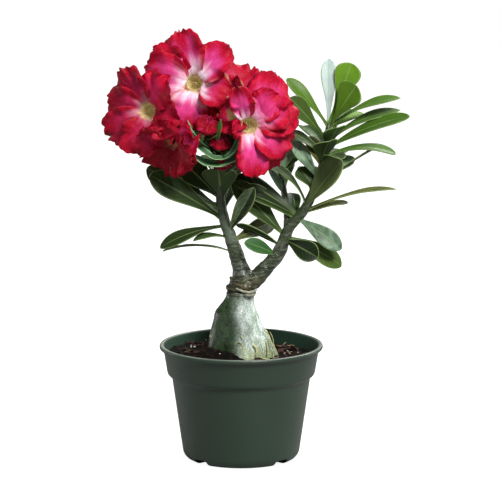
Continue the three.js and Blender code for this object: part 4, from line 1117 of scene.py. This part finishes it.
def petal_colour(x, s, pale, lit_amount, cover, pink, dry, seed):
    """Colour of a petal at x across (-1 to 1) and s along, pale by the throat and dark at the rim."""
    pale = min(1.0, pale + max(0.0, pink - 1))
    streak = noise.noise(Vector((3.2 * x, 0.8 * s, seed)))
    blotch = noise.noise(Vector((1.6 * x, 2.4 * s, seed + 7)))
    fine = noise.noise(Vector((11 * x, 2.2 * s, seed + 3)))
    rim = max(abs(x) ** 2.6, s**3.0)
    # Crimson, darker at the rim and painted in shade on little-lit petals; pink in the middle, but not on the
    # edge that lies on top.
    over = eased(-x + 0.3 * streak + 0.06 * fine, 0.75 - cover, 1.25 - cover)
    margin = eased(rim + 0.4 * blotch + 0.12 * fine, 0.12, 0.66)
    inner = (1 - margin) * (1 - 0.92 * over) * (1 - 0.7 * s) * pink
    shade_and_dark_rim = min(1.0, 1 - lit_amount + 0.6 * eased(rim + 0.4 * blotch, 0.6, 1.15))
    glow = DEEP_CRIMSON.lerp(CRIMSON.lerp(PINK, lit_amount), 0.15 + 0.85 * lit_amount)
    colour = CRIMSON.lerp(DEEP_CRIMSON, shade_and_dark_rim).lerp(glow, min(1.0, 1.15 * inner))
    # Almost white near the throat, less so on blooms painted in shade.
    core = 1 - eased(s + 0.16 * streak + 0.05 * fine, 0.04, 0.13 + 0.32 * pale)
    blush = core * (1 - over) * min(1.0, 1.3 * pink * pink)
    colour = colour.lerp(glow.lerp(BLUSH, pale), min(1.0, 1.1 * blush))
    # A dark outermost line, dry straw-coloured spots on it, and olive at the very foot.
    colour = colour.lerp(DEEP_CRIMSON, 0.8 * eased(rim, 0.92, 1.0))
    straw = dry * eased(rim + 0.5 * streak, 0.85, 1.0) * eased(blotch + 0.4 * fine, -0.05, 0.2)
    colour = colour.lerp(STRAW, min(1.0, straw))
    foot = (1 - eased(s + 0.05 * fine + 0.02 * streak, 0.035, 0.085)) * min(1.0, 0.1 + 1.8 * pale)
    return (*colour.lerp(OLIVE, foot), 1.0)


def petal(bm, throat, frame_of, row, pale):
    """One petal: a grid swept out of the throat, ruffled towards its rim."""
    angle, length, width, lift, curl, tilt, ruffle, phase, cover, pink, dry, lit_amount = row
    out = frame_of[2]
    outward = spoke(frame_of, math.radians(angle))
    sideways = out.cross(outward)
    path = [PETAL_START]
    for k in range(PETAL_STEPS):
        part = (k + 0.5) / PETAL_STEPS
        opening = (THROAT_SLOPE - lift) * math.exp(-THROAT_TURN * part)
        slope = math.radians(lift + opening - curl * part * part * 1.6)
        reach, height = path[-1]
        height += math.sin(slope) * length / PETAL_STEPS
        path.append((reach + math.cos(slope) * length / PETAL_STEPS, height))

    def share(u, v):
        """Across (-1 to 1) and along, with a rounded end."""
        x = 2 * u - 1
        return x, (1 - (1 - v) ** 1.25) * (1 - 0.10 * x * x * v)

    def place(u, v):
        x, s = share(u, v)
        turn = math.atan2(x * width / 2, (s - 0.4) * length)
        jag = frill(turn, 4.2, phase) + 0.55 * frill(turn, 9.5, phase + 5)
        half = width / 2 * petal_half_width(s) * (1 + 0.09 * jag * v)
        step = s * PETAL_STEPS
        low = min(int(step), PETAL_STEPS - 1)
        reach = path[low][0] + (path[low + 1][0] - path[low][0]) * (step - low)
        height = path[low][1] + (path[low + 1][1] - path[low][1]) * (step - low)
        reach += 0.06 * length * jag * v**3
        # The rim waves, frays and rolls back; the middle is creased and swells a little.
        rim = max(abs(x), s**3) ** 2.2 * min(1, 2.5 * s)
        wave = ruffle * rim * (0.8 * math.sin(5 * turn + phase) + 1.5 * frill(turn, 2.6, phase + 2))
        fine = rim**2 * (3.2 * frill(turn, 5.5, phase + 9) + 1.2 * frill(turn, 12, phase + 4))
        lines = 0.5 * s * noise.noise(Vector((4.5 * x, s, phase)))
        crease = -0.7 * math.exp(-((x / 0.14) ** 2)) * (1 - s) + lines
        swell = 1.6 * noise.noise(Vector((2.2 * x, 2.6 * s, phase + 3))) * min(1, 3 * s)
        fold = 3.0 * eased(-x, 0.45, 1.0) * eased(s, 0.02, 0.2) * (1 - eased(s, 0.5, 0.9))
        roll = -3.0 * eased(rim, 0.7, 1.0) ** 2 * (0.7 + 1.2 * frill(turn, 1.8, phase + 6))
        lean = math.tan(math.radians(tilt)) * half * x * eased(s, -0.02, 0.16)
        rise = height - lean + wave + fine + crease + swell + fold + roll
        return (throat + outward * reach + sideways * half * x + out * rise) * MM

    def tint(u, v):
        return petal_colour(*share(u, v), pale, lit_amount, cover, pink, dry, 3.7 * phase)

    sheet(bm, PETAL_ACROSS, PETAL_ALONG, place, tint)


def petal_vein_group():
    """Fine veins that fan out along a petal."""
    tree, given, made = shared_group("petal_veins", {"UV": "Vector"}, ("Fan",))
    fan = node(tree, "Mapping", {"Vector": given["UV"], "Scale": (26, 1.6, 1)}).outputs[0]
    cloud = node(tree, "TexNoise", {"Vector": fan, "Scale": 1.0, "Detail": 5.0, "Distortion": 0.4})
    tree.links.new(spread(tree, cloud.outputs["Fac"], 0.35, 0.65), made["Fan"])
    return tree


PETAL_VEINS = petal_vein_group()
PETAL_WASH = (0.50, 0.09, 0.15)
PETAL_GLINT = (0.95, 0.55, 0.70)


def petal_material(name, roughness, wash=0.0, glow=0.0):
    """A petal's skin: its own colour, finely veined and velvety, with painted glints; paler if it is washed.
    """
    made, tree, shader = material(name, tuple(CRIMSON), roughness, Specular_IOR_Level=0.1)
    uv = node(tree, "TexCoord").outputs["UV"]
    fan = node(tree, "Group", {"UV": uv}, node_tree=PETAL_VEINS).outputs["Fan"]
    patches, grain = speckled(tree, 150, 1900)
    own = mixed(tree, wash, own_colour(tree), PETAL_WASH)
    darker = mixed(tree, 1.0, own, (0.70, 0.42, 0.52), "MULTIPLY")
    colour = mixed(tree, times(tree, fan, 0.4), own, darker)
    lighter = mixed(tree, 1.0, colour, (1.2, 1.6, 1.5), "MULTIPLY")
    colour = mixed(tree, spread(tree, patches, 0.45, 0.95, 0.0, 0.6), colour, lighter)
    # Painted glints: tiny pale specks where the grain is highest.
    glint = mixed(tree, 0.55, colour, PETAL_GLINT)
    colour = mixed(tree, spread(tree, grain, 0.85, 1.0, 0.0, 0.25), colour, glint)
    # A glow is painted light: the part shines though no lamp lights it.
    if glow:
        tree.links.new(colour, shader.inputs["Emission Color"])
        shader.inputs["Emission Strength"].default_value = glow
    velvet = spread(tree, patches, 0.0, 1.0, roughness - 0.08, roughness + 0.1)
    relief = maths(tree, "ADD", times(tree, fan, 0.7), times(tree, grain, 0.3))
    feed(tree, shader, colour, bumped(tree, relief, 0.35, 0.3), velvet)
    return made


petal_skin = petal_material("petal_skin", 0.5)
petal_back = petal_material("petal_back", 0.6, wash=0.13)
# The throat, tube and anthers glow faintly, painted light standing in for light through the petals.
throat_skin = petal_material("throat_skin", 0.5, glow=0.16)

OLIVE_DEEP = Vector((0.45, 0.37, 0.13))
OLIVE_LINE = Vector((0.40, 0.22, 0.08))
TUBE_GREEN = Vector((0.42, 0.36, 0.20))
TUBE_RED = Vector((0.62, 0.16, 0.20))
ANTHER_COLOUR = (0.55, 0.50, 0.25, 1.0)
# Radius and height from the petals' plane: the tube outside, the throat inside.
TUBE_PROFILE = [
    (2.3, -TUBE_LENGTH), (2.5, -0.72 * TUBE_LENGTH), (4.6, -0.5 * TUBE_LENGTH),
    (6.9, -0.32 * TUBE_LENGTH), (7.8, -5), (8.2, -3),
]
THROAT_PROFILE = [(6.9, -4.6), (6.5, -6.2), (5.9, -8.4), (4.8, -10.8), (3.0, -13), (0.5, -14.4)]
THROAT_LINES = 15
ANTHERS = 5


def funnel(bm, throat, frame_of, pale):
    """The tube behind the petals and the olive throat inside it."""

    def ringed(profile, ribs):
        """Sweeps a profile round the bloom's axis, with ribs along it."""
        line = line_through([(radius, 0, 0, height) for radius, height in profile])

        def place(u, v):
            radius, _, _, height = line(v)
            angle = FULL_TURN * ((1 - u) % 1.0)
            return (throat + spoke(frame_of, angle) * radius * ribs(angle, v) + frame_of[2] * height) * MM

        return place

    def tube_tint(u, v):
        return (*TUBE_GREEN.lerp(TUBE_RED, eased(v, 0.45, 0.95)), 1.0)

    def throat_tint(u, v):
        line = 0.5 + 0.5 * math.cos(THROAT_LINES * FULL_TURN * u)
        # Painted shade: on blooms with a low pale the throat is painted towards dark crimson.
        colour = DEEP_CRIMSON.lerp(OLIVE, min(1.0, 0.2 + 1.6 * pale))
        colour = colour.lerp(OLIVE_DEEP, eased(v, 0.1, 0.8) * min(1.0, 0.3 + 1.5 * pale))
        return (*colour.lerp(OLIVE_LINE, 0.3 * line * eased(v, 0.1, 0.3)), 1.0)

    outside = ringed(TUBE_PROFILE, lambda angle, v: 1 + 0.06 * math.cos(5 * angle))
    inside = ringed(THROAT_PROFILE, lambda angle, v: 1 + 0.05 * math.cos(5 * angle + 0.6) * (1 - v))
    sheet(bm, 30, 14, outside, tube_tint)
    sheet(bm, 40, 16, inside, throat_tint)
    bmesh.ops.remove_doubles(bm, verts=bm.verts, dist=1e-7)


def anthers(bm, throat, frame_of):
    """The pale tails of the anthers, twisted together in the throat."""
    for k in range(ANTHERS):
        route = []
        for j in range(5):
            t = j / 4
            spin = FULL_TURN * k / ANTHERS + 0.4 + 1.2 * t
            radius = 2.6 * (1 - 0.55 * t)
            spot = throat + spoke(frame_of, spin) * radius + frame_of[2] * (-13 + 10 * t)
            route.append((*spot, 0.5 * (1 - 0.6 * t)))
        for vert in tube(bm, route, 10, 6):
            vert[bm.verts.layers.float_color["tint"]] = ANTHER_COLOUR


for bloom_name, (throat_at, facing, pale, petals) in BLOOMS.items():
    throat = Vector(throat_at)
    frame_of = bloom_frame(facing)
    petal_shape = tinted_shape()
    for row in petals:
        petal(petal_shape, throat, frame_of, row, pale)
    opened = piece_of(bloom_name + "_petals", petal_shape, [petal_back, petal_skin], "petal", bloom_name)
    thickened(opened, PETAL_THICKNESS, 1)
    tube_shape = tinted_shape()
    funnel(tube_shape, throat, frame_of, pale)
    funnel_piece = piece_of(bloom_name + "_funnel", tube_shape, [throat_skin], "petal", bloom_name)
    thickened(funnel_piece, TUBE_THICKNESS)
    anther_shape = tinted_shape()
    anthers(anther_shape, throat, frame_of)
    smooth_faces(anther_shape)
    piece_of(bloom_name + "_anthers", anther_shape, [throat_skin], "petal", bloom_name)

# ---- Buds --------------------------------------------------------------------------------------
# Three buds about to open: dark crimson petals still furled round each other and crumpled at the
# end, on a short pinkish tube that sits in the green sepals.

# Each bud: its foot, the way it points, its length and its radius.
BUDS = {
    "bud_left": ((-36, -42, 311), (0.4, -0.5, 0.77), 19, 11),
    "bud_right": ((-20, -27, 297.5), (0.1, -0.8, 0.6), 16, 9.4),
    "bud_low": ((-17, -23, 286), (0.05, -0.75, -0.66), 12, 8),
}
BUD_TUBE = 8
BUD_FOOT_RADIUS = 2.2
BUD_CRUMPLE = 2.6
BUD_THICKNESS = 0.5
NECK_PALE = Vector((0.42, 0.52, 0.30))
# The size of each furled petal from the innermost out, as a share of the bud's.
BUD_LAYER_SIZES = [0.16, 0.3, 0.45, 0.6, 0.72, 0.82, 0.92, 1.0]


def furled(bm, foot, frame_of, length, radius, layer):
    """One petal wrapped round the bud, wider than the one inside it."""
    size = BUD_LAYER_SIZES[layer]
    turn = 2.4 * layer

    def place(u, v):
        x = 1 - 2 * u
        wrap = turn + 1.55 * x * (0.35 + 0.65 * v) + 0.9 * v
        filled = math.sin(min(1, 1.45 * v) * math.pi / 2) ** 1.5
        belly = BUD_FOOT_RADIUS + (radius - BUD_FOOT_RADIUS) * filled
        close = 1 - 0.62 * eased(v, 0.62, 1.0)
        crumple = BUD_CRUMPLE * v * noise.noise(Vector((2.6 * x, 3.4 * v, layer * 5.1))) * size
        reach = belly * close * size + crumple + 1.6 * eased(x, 0.55, 1.0) * v
        ruffle = 0.9 * math.sin(7 * x + layer) + 3.5 * frill(x, 3.1, layer)
        tip = length * v * (1.14 - 0.16 * size - 0.16 * x * x) + v**3 * ruffle
        return (foot + spoke(frame_of, wrap) * reach + frame_of[2] * tip) * MM

    def tint(u, v):
        colour = TUBE_GREEN.lerp(CRIMSON, eased(v, 0.02, 0.2))
        colour = colour.lerp(DEEP_CRIMSON, 0.55 + 0.3 * eased(v, 0.4, 0.9))
        edge = 0.5 * eased(1 - 2 * u, 0.8, 1.0) + 0.4 * eased(v, 0.94, 1.0)
        return (*colour.lerp(CRIMSON.lerp(PINK, 0.4), edge), 1.0)

    sheet(bm, 20, 24, place, tint)


for bud_name, (foot_at, facing, length, radius) in BUDS.items():
    bud_shape = tinted_shape()
    frame_of = bloom_frame(facing)
    foot, out = Vector(foot_at), frame_of[2]
    for layer in range(len(BUD_LAYER_SIZES)):
        furled(bud_shape, foot, frame_of, length, radius, layer)
    below = foot - out * BUD_TUBE
    neck = [(*below, 2.4), (*below.lerp(foot, 0.5), 3.2), (*(foot + out * 3), 3.4)]
    tube(bud_shape, neck, 12, 16, tint=lambda u, v: (*NECK_PALE.lerp(TUBE_GREEN, v), 1.0))
    bud_piece = piece_of(bud_name + "_petals", bud_shape, [petal_skin], "bud_petal", bud_name)
    thickened(bud_piece, BUD_THICKNESS)

# ---- Flower stalks -----------------------------------------------------------------------------
# Short soft green stalks fan out from the tip of the left stem, one to each bloom and bud, and
# each ends in five pointed sepals that clasp the foot of the tube.

STALK_ROOT = Vector((-23, -11.6, 281.8))
STALK_BULGE = Vector((0, 3, 0))
STALK_RADIUS = 1.6
HUB_AT = Vector((-23, -11.8, 285))
HUB_RADIUS = 4.2
SEPALS = 5
SEPAL_REACH = 2.9
BLOOM_SEPAL = (7, 1.75, 2.6)
BUD_SEPAL_WIDTH = 3.2
STALK_GREEN = Vector((0.10, 0.24, 0.04))
STALK_PATCH = (0.10, 0.16, 0.04)
SEPAL_BLUSH = Vector((0.30, 0.14, 0.08))


def sepal(bm, foot, frame_of, angle, length, half_width, belly):
    """One pointed sepal that hugs a tube's foot."""
    out = frame_of[2]
    outward = spoke(frame_of, angle)
    sideways = out.cross(outward)

    def place(u, v):
        x = 2 * u - 1
        half = half_width * (1 - v**1.6) ** 0.8 + 0.12
        reach = SEPAL_REACH + belly * math.sin(1.6 * v) + 1.5 * v**4 - 0.3 * half_width * x * x
        return (foot + outward * reach + out * (-1.4 + length * v) + sideways * half * x) * MM

    sheet(bm, 6, 10, place, lambda u, v: (*STALK_GREEN.lerp(SEPAL_BLUSH, 0.5 * v), 1.0))


def stalk(bm, foot, frame_of, length, half_width, belly):
    """One stalk to the foot of a tube, and its sepals, which bulge by belly."""
    before = foot - frame_of[2] * 6
    middle = STALK_ROOT.lerp(before, 0.5) + STALK_BULGE
    route = [(*spot, STALK_RADIUS) for spot in (STALK_ROOT, middle, before)] + [(*foot, STALK_RADIUS + 1.1)]
    tube(
        bm, route, 30, 12, lambda t, angle: 1 + 0.05 * math.sin(40 * t), tint=lambda u, v: (*STALK_GREEN, 1.0)
    )
    for k in range(SEPALS):
        sepal(bm, foot, frame_of, math.radians(360 / SEPALS * k + 20), length, half_width, belly)


stalk_shape = tinted_shape()
for throat_at, facing, _, _ in BLOOMS.values():
    frame_of = bloom_frame(facing)
    stalk(stalk_shape, Vector(throat_at) - frame_of[2] * (TUBE_LENGTH + 0.3), frame_of, *BLOOM_SEPAL)
for foot_at, facing, length, radius in BUDS.values():
    frame_of = bloom_frame(facing)
    foot = Vector(foot_at) - frame_of[2] * BUD_TUBE
    stalk(stalk_shape, foot, frame_of, BUD_TUBE + 0.5 * length, BUD_SEPAL_WIDTH, radius - 2)
hub = bmesh.ops.create_icosphere(stalk_shape, subdivisions=3, radius=HUB_RADIUS * MM)["verts"]
bmesh.ops.translate(stalk_shape, verts=hub, vec=HUB_AT * MM)
for vert in hub:
    vert[stalk_shape.verts.layers.float_color["tint"]] = (*STALK_GREEN, 1.0)
smooth_faces(stalk_shape, 80)
stalk_skin, tree, shader = material("stalk_skin", tuple(STALK_GREEN), 0.45)
patches, grain = speckled(tree, 160, 1500)
fleshy = mixed(tree, times(tree, patches, 0.4), own_colour(tree), STALK_PATCH)
feed(tree, shader, fleshy, bumped(tree, grain, 0.3, 0.2))
piece_of("flower_stalk_bunch", stalk_shape, [stalk_skin], "flower_stalk", "flower_stalks")

# ---- Studio ------------------------------------------------------------------------------------
# A white table in a white room, lit by a large soft box above the front right, a faint one at the
# left, a soft one behind that shines through the top leaves, and a low one at each side.

white_table, tree, shader = material("white_table", (0.32, 0.32, 0.32), 0.8)
shader.inputs["Emission Color"].default_value = (1, 1, 1, 1)
seen = node(tree, "LightPath").outputs["Is Camera Ray"]
glow = node(tree, "MapRange", {"Value": seen, "To Min": 0.0, "To Max": 0.93}).outputs[0]
tree.links.new(glow, shader.inputs["Emission Strength"])
floor_shape = bmesh.new()
bmesh.ops.create_grid(floor_shape, x_segments=1, y_segments=1, size=6)
floor = workpiece("floor", floor_shape)
floor.data.materials.append(white_table)
floor.location = (0, 0, -0.0002)

# Each light: where it stands, the width of its square, its watts and its colour.
LIGHTS_AIM = Vector((0, 0, 0.22))
SOFTBOXES = [
    ("key", (0.95, -1.75, 2.15), 0.8, 98, (1.0, 0.99, 0.97)),
    ("fill", (-1.9, -1.2, 0.9), 1.2, 6, (0.97, 0.98, 1.0)),
    ("rim", (0.9, 1.5, 1.7), 1.0, 40, (1.0, 1.0, 0.97)),
    ("left card", (-1.7, 0.9, 0.1), 0.6, 8, (1.0, 1.0, 1.0)),
    ("right card", (1.7, 0.9, 0.1), 0.6, 8, (1.0, 1.0, 1.0)),
]


def placed(name, data, at, direction, axis):
    """A light or camera at a place, with one of its axes turned to a direction."""
    holder = bpy.data.objects.new(name, data)
    holder.location = at
    holder.rotation_mode = "QUATERNION"
    holder.rotation_quaternion = direction.to_track_quat(axis, "Y")
    bpy.context.scene.collection.objects.link(holder)
    return holder


for light_name, at, size, watts, colour in SOFTBOXES:
    lamp = bpy.data.lights.new(light_name, "AREA")
    lamp.shape = "SQUARE"
    lamp.size = size
    lamp.energy = watts
    lamp.color = colour
    placed(light_name, lamp, at, Vector(at) - LIGHTS_AIM, "Z")

world = bpy.data.worlds.new("studio")
world.use_nodes = True
bpy.context.scene.world = world
backdrop = world.node_tree.nodes["Background"]
backdrop.inputs["Color"].default_value = (1, 1, 1, 1)
seen = node(world.node_tree, "LightPath").outputs["Is Camera Ray"]
level = node(world.node_tree, "MapRange", {"Value": seen, "To Min": 0.15, "To Max": 1.05}).outputs[0]
world.node_tree.links.new(level, backdrop.inputs["Strength"])

CAMERA_AT = Vector((0.0082, -2.936, 0.726))
CAMERA_AIM = Vector((0.0082, 0, 0.1962))
camera_data = bpy.data.cameras.new("camera")
camera_data.sensor_width = 36
camera_data.lens = 231.9
camera_data.clip_end = 30
bpy.context.scene.camera = placed("camera", camera_data, CAMERA_AT, CAMERA_AIM - CAMERA_AT, "-Z")
bpy.context.scene.view_settings.view_transform = "Standard"

bpy.context.view_layer.update()
